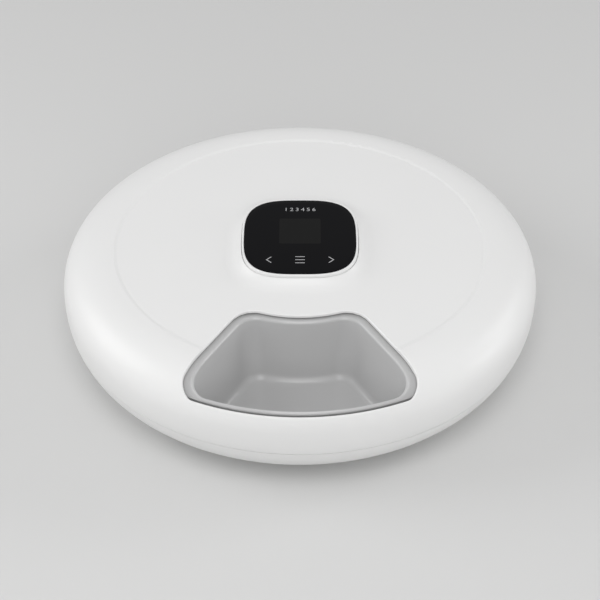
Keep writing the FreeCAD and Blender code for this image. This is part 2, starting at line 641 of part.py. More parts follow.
def gear_block(teeth, tip_r, root_r, slack, low, high):
    """A solid spur gear about the origin with a tooth centred on +Y; slack is added to each tooth's width."""
    pitch_r = s.gear_module * teeth / 2
    base_r = pitch_r * math.cos(PRESSURE)

    def half_angle(radius):
        lean = math.acos(min(1, base_r / radius))
        gain = math.tan(PRESSURE) - PRESSURE - (math.tan(lean) - lean)
        return math.pi / 2 / teeth + slack / 2 / pitch_r + gain

    steps = [root_r + (tip_r - root_r) * i / 4 for i in range(5)]
    edges = []
    for tooth in range(int(teeth)):
        middle = math.pi / 2 + 2 * math.pi * tooth / teeth

        def point(radius, turn):
            return Vector(radius * math.cos(middle + turn), radius * math.sin(middle + turn), low)

        rise, fall = Part.BSplineCurve(), Part.BSplineCurve()
        rise.interpolate([point(radius, -half_angle(radius)) for radius in steps])
        fall.interpolate([point(radius, half_angle(radius)) for radius in reversed(steps)])
        pitch = 2 * math.pi / teeth
        root = half_angle(root_r)
        tip = half_angle(tip_r)
        crest = Part.Arc(point(tip_r, -tip), point(tip_r, 0), point(tip_r, tip))
        valley = Part.Arc(point(root_r, root), point(root_r, pitch / 2), point(root_r, pitch - root))
        edges += [rise.toShape(), crest.toShape(), fall.toShape(), valley.toShape()]
    return Part.Face(Part.Wire(edges)).extrude(Vector(0, 0, high - low))


def ring_gear_blank():
    pitch_r = s.gear_module * s.ring_teeth / 2
    root_r = pitch_r + 1.27 * s.gear_module
    low = GEAR_Z - 0.2
    space = gear_block(s.ring_teeth, root_r, pitch_r - s.gear_module, s.backlash / 2, low, DISC_UNDER)
    return rod(root_r + s.ring_rim, low, DISC_UNDER).cut(space)


def driving_dogs():
    dog = box_at(s.dog_len, 2 * s.dog_half_w, s.dog_up + 1, s.dog_r, 0, DISC_TOP - 1)
    top = [e for e in dog.Edges if abs(e.CenterOfMass.z - DISC_TOP - s.dog_up) < 0.01]
    return fused(turned_copies(dog.makeChamfer(1.5, top), 3))


table_disc = turned("table_disc", [("column_r + spin_play", "pocket_floor_z - tray_floor - disc_t"),
                                   ("overall_r - disc_edge_in", "pocket_floor_z - tray_floor - disc_t"),
                                   ("overall_r - disc_edge_in", "pocket_floor_z - tray_floor"),
                                   ("column_r + spin_play", "pocket_floor_z - tray_floor")])
magnets, magnet_seats = [], []
for number in range(int(s.pocket_count)):
    x, y = ring_spot("magnet_ring_r", 90 + 360 / s.pocket_count * number)
    z = "pocket_floor_z - tray_floor - disc_t"
    magnets.append(cylinder("magnet_%d" % number, "magnet_r", "magnet_t", x, y, z))
    magnet_seats.append(cylinder("magnet_seat_%d" % number, "magnet_r + 0.02", "magnet_t + 0.02", x, y, z))
ring_gear, dogs = made("ring_gear", ring_gear_blank()), made("dogs", driving_dogs())
table_blank = fuse("table_blank", [table_disc, ring_gear, dogs])
part("turntable", cut("table", table_blank, magnet_seats))
part("index_magnets", group("magnets", magnets))

pinion_pitch_r = s.gear_module * s.pinion_teeth / 2
pinion = gear_block(s.pinion_teeth, pinion_pitch_r + s.gear_module, pinion_pitch_r - 1.2 * s.gear_module,
                    -s.backlash / 2, GEAR_Z, GEAR_Z + s.gear_w)
pinion = pinion.fuse(rod(5, GEAR_Z - 2, GEAR_Z + 1)).cut(rod(s.shaft_r + 0.02, 0, s.crest_z))
pinion = pinion.translated(Vector(0, MOTOR_Y, 0))
part("drive_pinion", made("pinion", pinion))

motor_y = "gear_module * (ring_teeth - pinion_teeth) / 2"
gear_z = "deck_z + 3"
motor_z = "deck_z + 4 + gear_w + shelf_t"
part("output_shaft", cylinder("shaft", "shaft_r", "gear_w + 10", "0", motor_y, gear_z + " - 2"))
gearbox_blank = cylinder("gearbox_blank", "motor_r + 0.6", "gearbox_len", "0", motor_y, motor_z)
bore_deep = "%s + gear_w + 8.5 - (%s)" % (gear_z, motor_z)
gearbox_holes = [cylinder("gearbox_bore", "shaft_r + pin_play", bore_deep, "0", motor_y, motor_z)]
gearbox_holes += [cylinder("gearbox_tap_%d" % (x > 0), "small_screw_r + 0.02", "5", str(x), motor_y, motor_z)
                  for x, _ in SHELF_SCREWS]
part("gearbox", cut("gearbox_case", gearbox_blank, gearbox_holes))
can = cylinder("motor_can", "motor_r", "motor_len - 2", "0", motor_y, motor_z + " + gearbox_len")
flats = [block("motor_flat_%d" % (way > 0), "4", "40", "motor_len - 6", "%d * (motor_r + 0.8)" % way, motor_y,
               motor_z + " + gearbox_len + 2") for way in (-1, 1)]
cap = cylinder("motor_cap", "5", "2", "0", motor_y, motor_z + " + gearbox_len + motor_len - 2")
tabs = [block("motor_tab_%d" % (way > 0), "3", "0.6", "4", "%d * 8" % way, motor_y,
              motor_z + " + gearbox_len + motor_len - 2.5") for way in (-1, 1)]
part("motor", fuse("motor_body", [cut("motor_can_flat", can, flats), cap] + tabs))
screws("motor_screws", [(str(x), motor_y) for x, _ in SHELF_SCREWS], gear_z + " + gear_w + 1",
       motor_z + " + 4", "small_screw_r", "1.9", "0.9", down=False)


# ---------------------------------------------------------------- tray

def pocket_block(grow, floor_z, top_z, fillet):
    """One pocket's space towards -Y, its walls moved outwards by grow."""
    def outline(height):
        lean = (TRAY_TOP - height) * DRAFT
        return wedge_wire(s.pocket_side + lean - grow, s.pocket_inner_r + lean - grow,
                          tray_wall_r(height) - s.tray_wall + grow, height, 360 / s.pocket_count)
    solid = Part.makeLoft([outline(floor_z), outline(top_z)], True, True)
    solid = rounded_corners(solid, s.pocket_corner_in + grow, s.pocket_corner_out + grow)
    floor = [e for e in solid.Edges if max(v.Z for v in e.Vertexes) < floor_z + 0.01]
    return solid.makeFillet(fillet, floor)


def tray_shape():
    hollow_r = s.tray_hole_r + s.tray_wall
    high = s.crest_z + 3

    def flared(grow, low):
        return Part.makeCone(tray_wall_r(low) + grow, tray_wall_r(high) + grow, high - low, Vector(0, 0, low))

    block_ = body_solid(SKIN).common(flared(0, DISC_TOP)).cut(rod(s.tray_hole_r, 0, high))
    hollow = body_solid(SKIN + s.tray_wall).common(flared(-s.tray_wall, DISC_TOP - 1))
    hollow = hollow.cut(rod(hollow_r, 0, high))
    pocket = pocket_block(0, s.pocket_floor_z, high, s.pocket_fillet)
    cup = pocket_block(s.tray_wall, DISC_TOP, high, s.pocket_fillet + s.tray_wall)
    hollow = hollow.cut(fused(turned_copies(cup, s.pocket_count)))
    skin = body_solid(SKIN)
    segment = block_.cut(hollow)
    pockets = turned_copies(pocket, s.pocket_count)
    tray = segment.cut(fused(pockets))
    lips = [e for one in pockets for e in shared_edges(tray, one, skin)]
    return tray.makeFillet(s.pocket_lip, lips)


part("food_tray", made("tray", tray_shape()))


# ---------------------------------------------------------------- lid

def collar_height(out):
    """Height of the soft collar above the recessed top, at a distance out from the head."""
    peak = s.head_rise - s.bezel_proud
    return (peak + 0.04) * (0.5 + 0.5 * math.cos(math.pi * out / s.collar_w)) - 0.04


def lid_shape():
    low_r, high_r = [s.overall_r - s.step_inset + way * s.step_w / 2 for way in (-1, 1)]
    top, bottom = Vector(high_r, 0, s.crest_z), Vector(low_r, 0, RECESS_Z)
    step = smooth_edge([top, (top + bottom) / 2, bottom], Vector(-1, 0, 0), Vector(-1, 0, 0))
    outside = spun(body_wall(0) + run((SHOULDER_R, s.crest_z), (high_r, s.crest_z)) + [step]
                   + run((low_r, RECESS_Z), (0, RECESS_Z), (0, s.foot_gap), (FLOOR_R, s.foot_gap)))
    above_seam = tube_between(s.seam_z, s.crest_z + 20, s.overall_r + 1)
    outs = [s.lid_play * 0.5 + s.collar_w * i / 9 for i in range(10)]
    rings = [squircle(out, RECESS_Z + collar_height(min(out, s.collar_w))) for out in outs[:-1]]
    collar = Part.makeLoft(rings + [squircle(s.collar_w + 0.4, RECESS_Z - 0.5)], True, False)
    lid = outside.common(above_seam).fuse(collar).cut(body_solid(s.shell_wall))
    pad = box_at(2 * s.lock_travel + 14, 6, s.lock_knob_up + 4, s.lock_travel / 2, LOCK_PAD_Y + 3,
                 s.lock_z - s.lock_knob_up / 2 - 2)
    lid = lid.fuse(pad.common(body_solid(0.5)))
    lid = lid.cut(squircle_block(s.lid_play, s.crest_z - 10, s.crest_z + 20))
    room = s.lock_knob_w + s.lock_travel + 2 * s.lock_play
    lid = lid.cut(box_at(room, 10, s.lock_knob_up + 2 * s.lock_play, s.lock_travel / 2, LOCK_FLOOR_Y + 5,
                         s.lock_z - s.lock_knob_up / 2 - s.lock_play))
    slot_w, slot_up = s.lock_stem_w + s.lock_travel + 2 * s.lock_play, s.lock_stem_up + 2 * s.lock_play
    lid = lid.cut(box_at(slot_w, 20, slot_up, s.lock_travel / 2, LOCK_PAD_Y, s.lock_z - slot_up / 2))
    window = Part.makeLoft([wedge_wire(s.window_side, s.window_inner_r, s.overall_r - s.window_inset, z)
                            for z in (s.seam_z + 5, s.crest_z + 10)], True, True)
    window = rounded_corners(window, s.window_corner_in, s.window_corner_out)
    lid = lid.cut(window)
    return lid.makeFillet(s.window_edge, shared_edges(lid, window, outside))


part("lid", made("lid_shell", lid_shape()))


def lock_shape():
    plate_z = s.lock_z - s.lock_knob_up / 2 + s.lock_play
    plate = box_at(s.lock_knob_w, s.lock_plate_t, s.lock_knob_up - 2 * s.lock_play, 0,
                   LOCK_PLATE_Y + s.lock_plate_t / 2, plate_z)
    knob_y = LOCK_FLOOR_Y + s.lock_play
    knob_z = s.lock_z - s.lock_knob_up / 2
    stem_out = knob_y + LAP - LOCK_PLATE_Y
    stem = box_at(s.lock_stem_w, stem_out, s.lock_stem_up, 0, LOCK_PLATE_Y + stem_out / 2,
                  s.lock_z - s.lock_stem_up / 2)
    knob = box_at(s.lock_knob_w, s.lock_knob_t, s.lock_knob_up, 0, knob_y + s.lock_knob_t / 2, knob_z)
    knob = knob.makeFillet(s.lock_knob_round, [e for e in knob.Edges if e.Length < 2])
    grooves = [box_at(s.lock_groove_w, s.lock_groove_w, s.lock_knob_up - 2 * s.lock_rib_w,
                      s.lock_rib_w * (2 * i - 3), knob_y + s.lock_knob_t, knob_z + s.lock_rib_w)
               for i in range(4)]
    tab = tube_between(s.lock_z - s.lock_hook_t / 2, s.lock_z + s.lock_hook_t / 2,
                       LOCK_PLATE_Y + s.lock_plate_t, LOCK_PLATE_Y - LAP)
    tab = tab.common(box_at(s.lock_tab + 2 * LAP, 10, s.lock_knob_up,
                            (s.lock_knob_w + s.lock_tab) / 2 - LAP, LOCK_PLATE_Y, knob_z))
    return fused([plate, stem, knob.cut(fused(grooves)), tab])


part("lid_lock", made("lock", lock_shape()))


# ---------------------------------------------------------------- batteries

bay_y = "bay_y"
cell_reach = "(cell_r + cell_play / 2)"
bay_in = "(4 * cell_r + 2 * cell_play)"
bay_out = "(%s + 2 * bay_wall)" % bay_in
floor_top = "(foot_gap + shell_wall)"
bay_up = "(spring_len + cell_len + contact_t)"
holder_walls = block("holder_walls", bay_out, bay_out, bay_up + " + bay_wall", "0", bay_y, floor_top)
holder_room = block("holder_room", bay_in, bay_in, bay_up, "0", bay_y, floor_top)
holder_ears = block("holder_ears", bay_out + " + 14", "12", "2", "0", bay_y, floor_top)
ear_spots = ["%d * (%s / 2 + 3.4)" % (way, bay_out) for way in (-1, 1)]
ear_holes = [cylinder("ear_hole_%d" % number, "small_screw_r + 0.1", "3", x, bay_y, floor_top)
             for number, x in enumerate(ear_spots)]
bore_space = cylinder("bore_space", "column_r - column_wall - lid_play", bay_up + " + bay_wall", "0", "0",
                      floor_top)
holder_blank = common("holder_in_bore", fuse("holder_blank", [holder_walls, holder_ears]), bore_space)
part("battery_holder", cut("holder", holder_blank, [holder_room] + ear_holes))
screws("holder_screws", [(x, bay_y) for x in ear_spots], floor_top + " + 3.2", "foot_gap + 1", "0.85", "2",
       "1.2")

cells = []
for across in (-1, 1):
    for along in (-1, 1):
        x, y = "%d * %s" % (across, cell_reach), "bay_y + %d * %s" % (along, cell_reach)
        name = "cell_%d%d" % (across > 0, along > 0)
        low = floor_top + " + spring_len"
        nub_low = across * along < 0
        can = cylinder(name + "_can", "cell_r", "cell_len - 1.6", x, y, low + (" + 1.6" if nub_low else ""))
        nub = cylinder(name + "_nub", "3.2", "1.6", x, y, low if nub_low else low + " + cell_len - 1.6")
        cells.append(fuse(name, [can, nub]))
part("battery_cells", group("cells", cells))
part("contact_plates", group("plates", [
    block("plate_%d" % (way > 0), "10", "2 * cell_r + 12", "contact_t", "%d * %s" % (way, cell_reach), bay_y,
          floor_top + " + spring_len + cell_len") for way in (-1, 1)]))

flange_w = "(%s + 2 * door_lip - 2 * door_play)" % bay_in
door_flange = block("door_flange", flange_w, flange_w, "door_lip_t", "0", bay_y, "foot_gap")
plug_w = bay_in + " - 2 * door_play"
door_plug = block("door_plug", plug_w, plug_w, "shell_wall", "0", bay_y, "foot_gap")
finger_dip = block("finger_dip", "16", "5", "0.8", "0", "bay_y + %s / 2 - 6" % flange_w, "foot_gap")
part("battery_door", cut("door", fuse("door_blank", [door_flange, door_plug]), [finger_dip]))


def battery_spring(x, y):
    """A short conical spring between the door and a cell."""
    turns, taper, play = 2, -40, 0.02
    rise = s.spring_len - 2 * s.spring_wire_r - 2 * play
    coil = Part.makeHelix(rise / turns, rise, s.spring_r, taper)
    path = coil.Edges[0]
    start, heading = path.valueAt(path.FirstParameter), path.tangentAt(path.FirstParameter)
    halves = [Part.makeCircle(s.spring_wire_r, start, heading, angle, angle + 180) for angle in (0, 180)]
    wire = Part.Wire(coil.Edges).makePipeShell([Part.Wire(halves)], True, True)
    return wire.translated(Vector(x, y, FLOOR_TOP + s.spring_wire_r + play))


cell_out = s.cell_r + s.cell_play / 2
springs = [battery_spring(across * cell_out, s.bay_y + along * cell_out)
           for across in (-1, 1) for along in (-1, 1)]
part("door_springs", made("springs", Part.makeCompound(springs)))


# ---------------------------------------------------------------- boards in the tub

inlet_z = "(foot_gap + shell_wall + board_lift + board_t)"
board_y = "(inlet_y - 2.5 - board_d / 2)"
board_z = floor_top + " + board_lift"
board = block("board_plate", "board_w", "board_d", "board_t", "0", board_y, board_z)
board_spots = [("%d * (board_w / 2 - 4)" % x, board_y + y)
               for x in (-1, 1) for y in (" + 4", " + 4 - board_d / 2")]
board_holes = [cylinder("board_hole_%d" % number, "small_screw_r", "board_t", x, y, board_z)
               for number, (x, y) in enumerate(board_spots)]
chips = [block("board_chip", "9", "9", "1.2", "-8", board_y, inlet_z),
         block("board_driver", "5", "4", "1.5", "8", board_y + " - 6", inlet_z),
         block("board_plug_motor", "7.5", "4.5", "4", "-14", board_y + " - board_d / 2 + 4", inlet_z),
         block("board_plug_head", "12.5", "4.5", "4", "6", board_y + " - board_d / 2 + 4", inlet_z)]
capacitors = [cylinder("board_cap_%d" % n, "2.5", "4.6", str(x), board_y + " + 6", inlet_z)
              for n, x in enumerate((-18, 14))]
part("main_board", fuse("main_board_all", [cut("board_drilled", board, board_holes)] + chips + capacitors))
screws("board_screws", board_spots, inlet_z + " + 1.2", "foot_gap + 1.6", "0.85", "1.9", "1.2")


def inlet_shape():
    """A flat-oval power socket with its tongue, its mouth towards +Y."""
    def oval(width, height, depth, y):
        box = box_at(width, depth, height, 0, y + depth / 2, INLET_Z - height / 2)
        along = [e for e in box.Edges if abs(e.tangentAt(e.FirstParameter).y) > 0.9]
        return box.makeFillet(height / 2 - 0.01, along)

    back = s.inlet_y - 0.2 - s.inlet_deep
    room = oval(s.inlet_w - 0.7, s.inlet_up - 0.7, s.inlet_deep, back + 1.2)
    tongue = box_at(6.4, s.inlet_deep - 2, 0.7, 0, back + s.inlet_deep / 2, INLET_Z - 0.35)
    return oval(s.inlet_w, s.inlet_up, s.inlet_deep, back).cut(room).fuse(tongue)


part("power_inlet", made("inlet", inlet_shape()))

sensor_z = "pocket_floor_z - tray_floor - disc_t - 3"
sensor_board = block("sensor_board", "9", "7", "1", "0", "magnet_ring_r", sensor_z)
sensor_chip = block("sensor_chip", "4", "3", "1.4", "0", "magnet_ring_r", sensor_z + " + 1")
part("index_sensor", fuse("sensor", [sensor_board, sensor_chip]))


# ---------------------------------------------------------------- control head

def head_shape():
    low = COVER_Z - s.cover_t
    cover = rod(s.column_r, low, COVER_Z)
    for azimuth in COVER_AZIMUTHS:
        x, y = spot(COVER_RING_R, azimuth)[:2]
        cover = cover.cut(rod(s.small_screw_r + 0.1, low - 1, COVER_Z + 1, x, y))
        cover = cover.cut(rod(2.1, COVER_Z - 0.9, COVER_Z + 1, x, y))
    tower = squircle_block(0, low, HEAD_Z)
    rim = [e for e in tower.Edges if abs(e.CenterOfMass.z - HEAD_Z) < 0.01]
    tower = tower.makeFillet(0.55, rim)
    posts = [rod(s.head_post_r, HEAD_BOARD_Z + s.board_t, GLASS_UNDER, x, y) for x, y in HEAD_CORNERS]
    posts = fused(posts).common(squircle_block(-0.5, low, HEAD_Z))
    shell = cover.fuse(tower).cut(squircle_block(-s.bezel_w - s.glass_ledge, low - 1, GLASS_UNDER + 1))
    shell = shell.cut(squircle_block(-s.bezel_w, GLASS_UNDER, HEAD_Z + 1)).fuse(posts)
    holes = fused([rod(0.87, HEAD_BOARD_Z, GLASS_UNDER - 0.6, x, y) for x, y in HEAD_CORNERS])
    return shell.cut(holes)


part("head_shell", made("head", head_shape()))
part("glass_panel", made("glass", squircle_block(-s.bezel_w - s.glass_play, GLASS_UNDER, GLASS_TOP)))
head_board = squircle_block(-s.bezel_w - s.glass_ledge - 0.5, HEAD_BOARD_Z, HEAD_BOARD_Z + s.board_t)
head_board = head_board.cut(fused([rod(s.small_screw_r, 0, s.crest_z + 20, x, y) for x, y in HEAD_CORNERS]))
part("head_board", made("head_board_plate", head_board))

glass_under = "(crest_z - step_drop + head_rise - glass_sink - glass_t)"
part("display", block("display_block", "display_w", "display_d", "display_t", "0", "display_y",
                      glass_under + " - display_t"))
part("touch_springs", group("keys", [
    cut("key_%d" % n, cylinder("key_%d_out" % n, "key_r", "display_t", "%d * key_pitch" % n, "key_y",
                               glass_under + " - display_t"),
        [cylinder("key_%d_in" % n, "key_r - 0.8", "display_t", "%d * key_pitch" % n, "key_y",
                  glass_under + " - display_t")]) for n in (-1, 0, 1)]))
part("buzzer", cut("buzzer_case", cylinder("buzzer_can", "buzzer_r", "buzzer_t", "-12", "18",
                                           glass_under + " - display_t - board_t - buzzer_t"),
                   [cylinder("buzzer_hole", "1", "1", "-12", "18",
                             glass_under + " - display_t - board_t - buzzer_t")]))
post_turn = "head_post_turn * 1 deg"
post_reach = ("((cos({0}) / (head_half_w - head_post_in)) ^ head_power"
              " + (sin({0}) / (head_half_d - head_post_in)) ^ head_power) ^ (-1 / head_power)").format(post_turn)
post_x, post_y = "%s * cos(%s)" % (post_reach, post_turn), "%s * sin(%s)" % (post_reach, post_turn)
post_spots = [("%d * %s" % (x, post_x), "%d * %s" % (y, post_y)) for x in (-1, 1) for y in (-1, 1)]
screws("head_board_screws", post_spots, glass_under + " - display_t - board_t - 1.2", glass_under + " - 0.8",
       "0.85", "1.9", "1.2", down=False)
screws("cover_screws", [ring_spot("(column_r - column_wall - 3.4)", a) for a in COVER_AZIMUTHS],
       "crest_z - shell_wall - lid_play", "crest_z - shell_wall - lid_play - 8", "small_screw_r", "1.9", "0.9")


# ---------------------------------------------------------------- check and write

doc.recompute()
for obj in doc.Objects:
    if {"Invalid", "Error"} & set(obj.State):
        raise RuntimeError("%s failed: %s" % (obj.Name, obj.State))
os.makedirs("parts", exist_ok=True)
for label, obj in parts.items():
    if obj.Shape.isNull() or not obj.Shape.isValid() or not obj.Shape.Solids:
        raise RuntimeError("%s has no valid solid" % label)
for label, obj in parts.items():
    obj.Shape.exportStep("parts/%s.step" % label)
    print("%-24s %2d solids %10.1f mm3" % (label, len(obj.Shape.Solids), obj.Shape.Volume))
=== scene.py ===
import json
from math import atan2, cos, pi, radians, sin, sqrt, tan

import bmesh
import bpy
import numpy as np
from mathutils import Matrix, Vector

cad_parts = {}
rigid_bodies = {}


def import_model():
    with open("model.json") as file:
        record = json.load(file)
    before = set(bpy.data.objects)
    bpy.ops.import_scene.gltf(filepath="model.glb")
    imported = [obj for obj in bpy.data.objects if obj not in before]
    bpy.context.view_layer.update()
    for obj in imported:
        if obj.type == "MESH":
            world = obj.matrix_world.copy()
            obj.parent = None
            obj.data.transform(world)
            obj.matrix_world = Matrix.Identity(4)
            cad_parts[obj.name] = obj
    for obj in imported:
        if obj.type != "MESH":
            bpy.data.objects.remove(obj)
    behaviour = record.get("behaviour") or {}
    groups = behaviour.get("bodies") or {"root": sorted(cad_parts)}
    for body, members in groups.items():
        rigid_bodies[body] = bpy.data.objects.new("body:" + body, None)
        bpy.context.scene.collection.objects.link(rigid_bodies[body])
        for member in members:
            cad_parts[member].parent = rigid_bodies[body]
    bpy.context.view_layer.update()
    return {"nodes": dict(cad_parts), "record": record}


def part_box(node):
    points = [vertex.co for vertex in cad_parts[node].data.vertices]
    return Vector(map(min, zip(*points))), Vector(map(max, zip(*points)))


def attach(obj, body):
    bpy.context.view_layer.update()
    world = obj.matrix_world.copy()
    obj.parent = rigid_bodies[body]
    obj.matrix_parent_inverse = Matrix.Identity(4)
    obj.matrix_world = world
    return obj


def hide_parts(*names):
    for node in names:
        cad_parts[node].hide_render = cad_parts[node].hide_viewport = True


scene = bpy.context.scene
for leftover in list(bpy.data.objects):
    bpy.data.objects.remove(leftover)
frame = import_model()
print("frame loaded:", len(frame["nodes"]), "nodes")

mm = 0.001
weld = 0.001 * mm         # corners nearer than this become one
pinHole = 0.02            # in mm: a turned shape keeps this hole, so that no pole is left
past = 1.0                # in mm: how far a cutting tool stands out of what it cuts
edgeSteps = 5             # corners over a rounded edge
edgeTurns = tuple(radians(a) for a in (30, 60, 90))      # where a small rounded edge has its corners
boxSteps = 6              # faces over a box's rounded edge
usualAngle = 35.0         # in degrees: edges sharper than this stay hard, unless a piece says otherwise

# the body's round outline, in mm; the overall sizes come from the frame
body = {
    "radius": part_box("lid")[1].x / mm,
    "floor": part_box("base_tub")[0].z / mm,
    "seam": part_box("lid")[0].z / mm,
    "equator": 51.1,          # height of the widest line
    "crest": 78.4,            # highest line of the shoulder
    "shoulderWide": 32.0,
    "shoulderPower": 2.2,
    "bellyWide": 50.6,
    "bellyPower": 2.37,
    "wall": 2.5,
    "curveSteps": 900,        # points on the shoulder, and as many on the belly
}
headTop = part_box("head_shell")[1].z / mm
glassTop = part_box("glass_panel")[1].z / mm
topStart = body["radius"] - body["shoulderWide"]


# small makers that every piece uses

def addObject(name, data):
    thing = bpy.data.objects.new(name, data)
    scene.collection.objects.link(thing)
    return thing


def meshPiece(name, points, faces, material=None, smoothBelow=usualAngle):
    # points in mm
    mesh = bpy.data.meshes.new(name)
    mesh.from_pydata((points * mm).tolist(), [], faces)
    return finishMesh(addObject(name, mesh), material, smoothBelow)


def finishMesh(piece, material=None, smoothBelow=usualAngle):
    # doubles, slivers, loose edges and corners with two edges go, and faces turn outwards
    work = bmesh.new()
    work.from_mesh(piece.data)
    bmesh.ops.remove_doubles(work, verts=work.verts, dist=weld)
    bmesh.ops.dissolve_degenerate(work, edges=work.edges, dist=weld)
    bmesh.ops.delete(work, geom=[e for e in work.edges if not e.link_faces], context="EDGES")
    bmesh.ops.dissolve_verts(work, verts=[v for v in work.verts if len(v.link_edges) == 2])
    bmesh.ops.recalc_face_normals(work, faces=work.faces)
    work.to_mesh(piece.data)
    work.free()
    piece.data.shade_smooth()
    piece.data.set_sharp_from_angle(angle=radians(smoothBelow))
    if material:
        piece.data.materials.clear()
        piece.data.materials.append(material)
    return piece


def ringFaces(rows, columns, closed=True, endless=False, start=0):
    # quads between rows of points; closed joins the ends of a row, endless the last row to the first
    faces = []
    for row in range(rows if endless else rows - 1):
        near, far = start + row * columns, start + (row + 1) % rows * columns
        for column in range(columns if closed else columns - 1):
            after = (column + 1) % columns
            faces.append((near + column, near + after, far + after, far + column))
    return faces


def loftRings(name, rings, material=None, endless=True, smoothBelow=usualAngle):
    # rings: equal lists of points in mm; without endless, the first and the last one get a cap
    count, total = len(rings[0]), len(rings[0]) * len(rings)
    faces = ringFaces(len(rings), count, endless=endless)
    if not endless:
        faces += [tuple(range(count)), tuple(range(total - count, total))]
    return meshPiece(name, np.concatenate(rings), faces, material, smoothBelow)


def addGrid(points, faces, rings):
    # an open grid of rings joins a mesh in the making
    faces += ringFaces(len(rings), len(rings[0]), closed=False, start=sum(map(len, points)))
    points.append(np.concatenate(rings))


def flatSpot(reach, turn):
    return np.stack([reach * np.cos(turn), reach * np.sin(turn)], -1)


def raised(flat, height):
    # (x, y) places at a height
    return np.column_stack([flat, np.full(len(flat), height)])


def ringAt(reach, turn, height):
    return raised(flatSpot(reach, turn), height)


def polar(flat):
    # distance from the axis and direction of (x, y) places
    return np.hypot(flat[:, 0], flat[:, 1]), np.arctan2(flat[:, 1], flat[:, 0])


def roundAxis(steps):
    return np.arange(steps) * 2 * pi / steps


def spotsRound(reach, degrees):
    return [(reach * cos(radians(a)), reach * sin(radians(a))) for a in degrees]


def between(first, last, shares):
    return [first * (1 - share) + last * share for share in shares]


def unit(rows):
    return rows / np.linalg.norm(rows, axis=1)[:, None]


def roundSteps(size):
    # (inwards, down) steps over a rounded edge, from the wall to the top
    return [(size * (1 - cos(a)), size * (1 - sin(a))) for a in np.linspace(0, pi / 2, edgeSteps)]


def lathe(name, outline, steps, centre=(0, 0)):
    # a closed outline of (radius, height) corners turned about an upright line through centre
    turns = roundAxis(steps)
    return loftRings(name, [ringAt(radius, turns, height) + (*centre, 0) for radius, height in outline])


def cutAway(piece, *tools, operation="DIFFERENCE", smoothBelow=usualAngle):
    # solid tools are taken out of a piece, or joined to it, and thrown away
    for tool in tools:
        change = piece.modifiers.new("cut", "BOOLEAN")
        change.operation = operation
        change.solver = "MANIFOLD"
        change.object = tool
        freeze(piece)
        bpy.data.objects.remove(tool)
    return finishMesh(piece, None, smoothBelow)


def freeze(piece):
    # modifiers become plain mesh
    depsgraph = bpy.context.evaluated_depsgraph_get()
    mesh = bpy.data.meshes.new_from_object(piece.evaluated_get(depsgraph), depsgraph=depsgraph)
    piece.modifiers.clear()
    piece.data = mesh
    mesh.name = piece.name
    return piece


def joinPieces(name, pieces, material):
    joined = bmesh.new()
    for piece in pieces:
        joined.from_mesh(piece.data)
        bpy.data.objects.remove(piece)
    mesh = bpy.data.meshes.new(name)
    joined.to_mesh(mesh)
    joined.free()
    mesh.materials.append(material)
    return addObject(name, mesh)


def boxTool(low, high, corner=0.0):
    # a plain box from corner to corner, in mm, its edges along Y rounded
    tool = bmesh.new()
    bmesh.ops.create_cube(tool, size=1)
    low, high = Vector(low) * mm, Vector(high) * mm
    for vert in tool.verts:
        vert.co = Vector((low[i] if vert.co[i] < 0 else high[i] for i in range(3)))
    if corner:
        edges = [e for e in tool.edges if abs((e.verts[0].co - e.verts[1].co).normalized().y) > 0.9]
        bmesh.ops.bevel(tool, geom=edges, offset=corner * mm, segments=boxSteps, affect="EDGES", profile=0.5)
    bmesh.ops.recalc_face_normals(tool, faces=tool.faces)
    mesh = bpy.data.meshes.new("tool")
    tool.to_mesh(mesh)
    tool.free()
    return addObject("tool", mesh)


# the body's outline: a rounded shoulder above a rounded belly

def ovalQuarter(wide, tall, power, turn, inset):
    across, up = np.cos(turn) ** (2 / power), np.sin(turn) ** (2 / power)
    leanX, leanY = across ** (power - 1) / wide, up ** (power - 1) / tall
    size = np.hypot(leanX, leanY)
    return wide * across - inset * leanX / size, tall * up - inset * leanY / size


def bodyCurve(inset, lowest=None):
    # (radius, height) points from the crest's edge down, moved inwards by inset, to a lowest height
    middle = body["equator"]
    turn = np.linspace(pi / 2, 0, body["curveSteps"])
    halves = []
    for half, tall, turns, side in (("shoulder", body["crest"] - middle, turn, 1),
                                    ("belly", middle - body["floor"], turn[::-1], -1)):
        wide = body[half + "Wide"]
        across, up = ovalQuarter(wide, tall, body[half + "Power"], turns, inset)
        halves.append(np.column_stack([body["radius"] - wide + across, middle + side * up]))
    curve = np.vstack([halves[0], halves[1][1:]])
    if lowest is None:
        return curve
    end = np.interp(-lowest, -curve[:, 1], curve[:, 0])
    return np.vstack([curve[curve[:, 1] > lowest], (end, lowest)])


def lengthAlong(curve):
    return np.concatenate([[0], np.cumsum(np.hypot(*np.diff(curve, axis=0).T))])


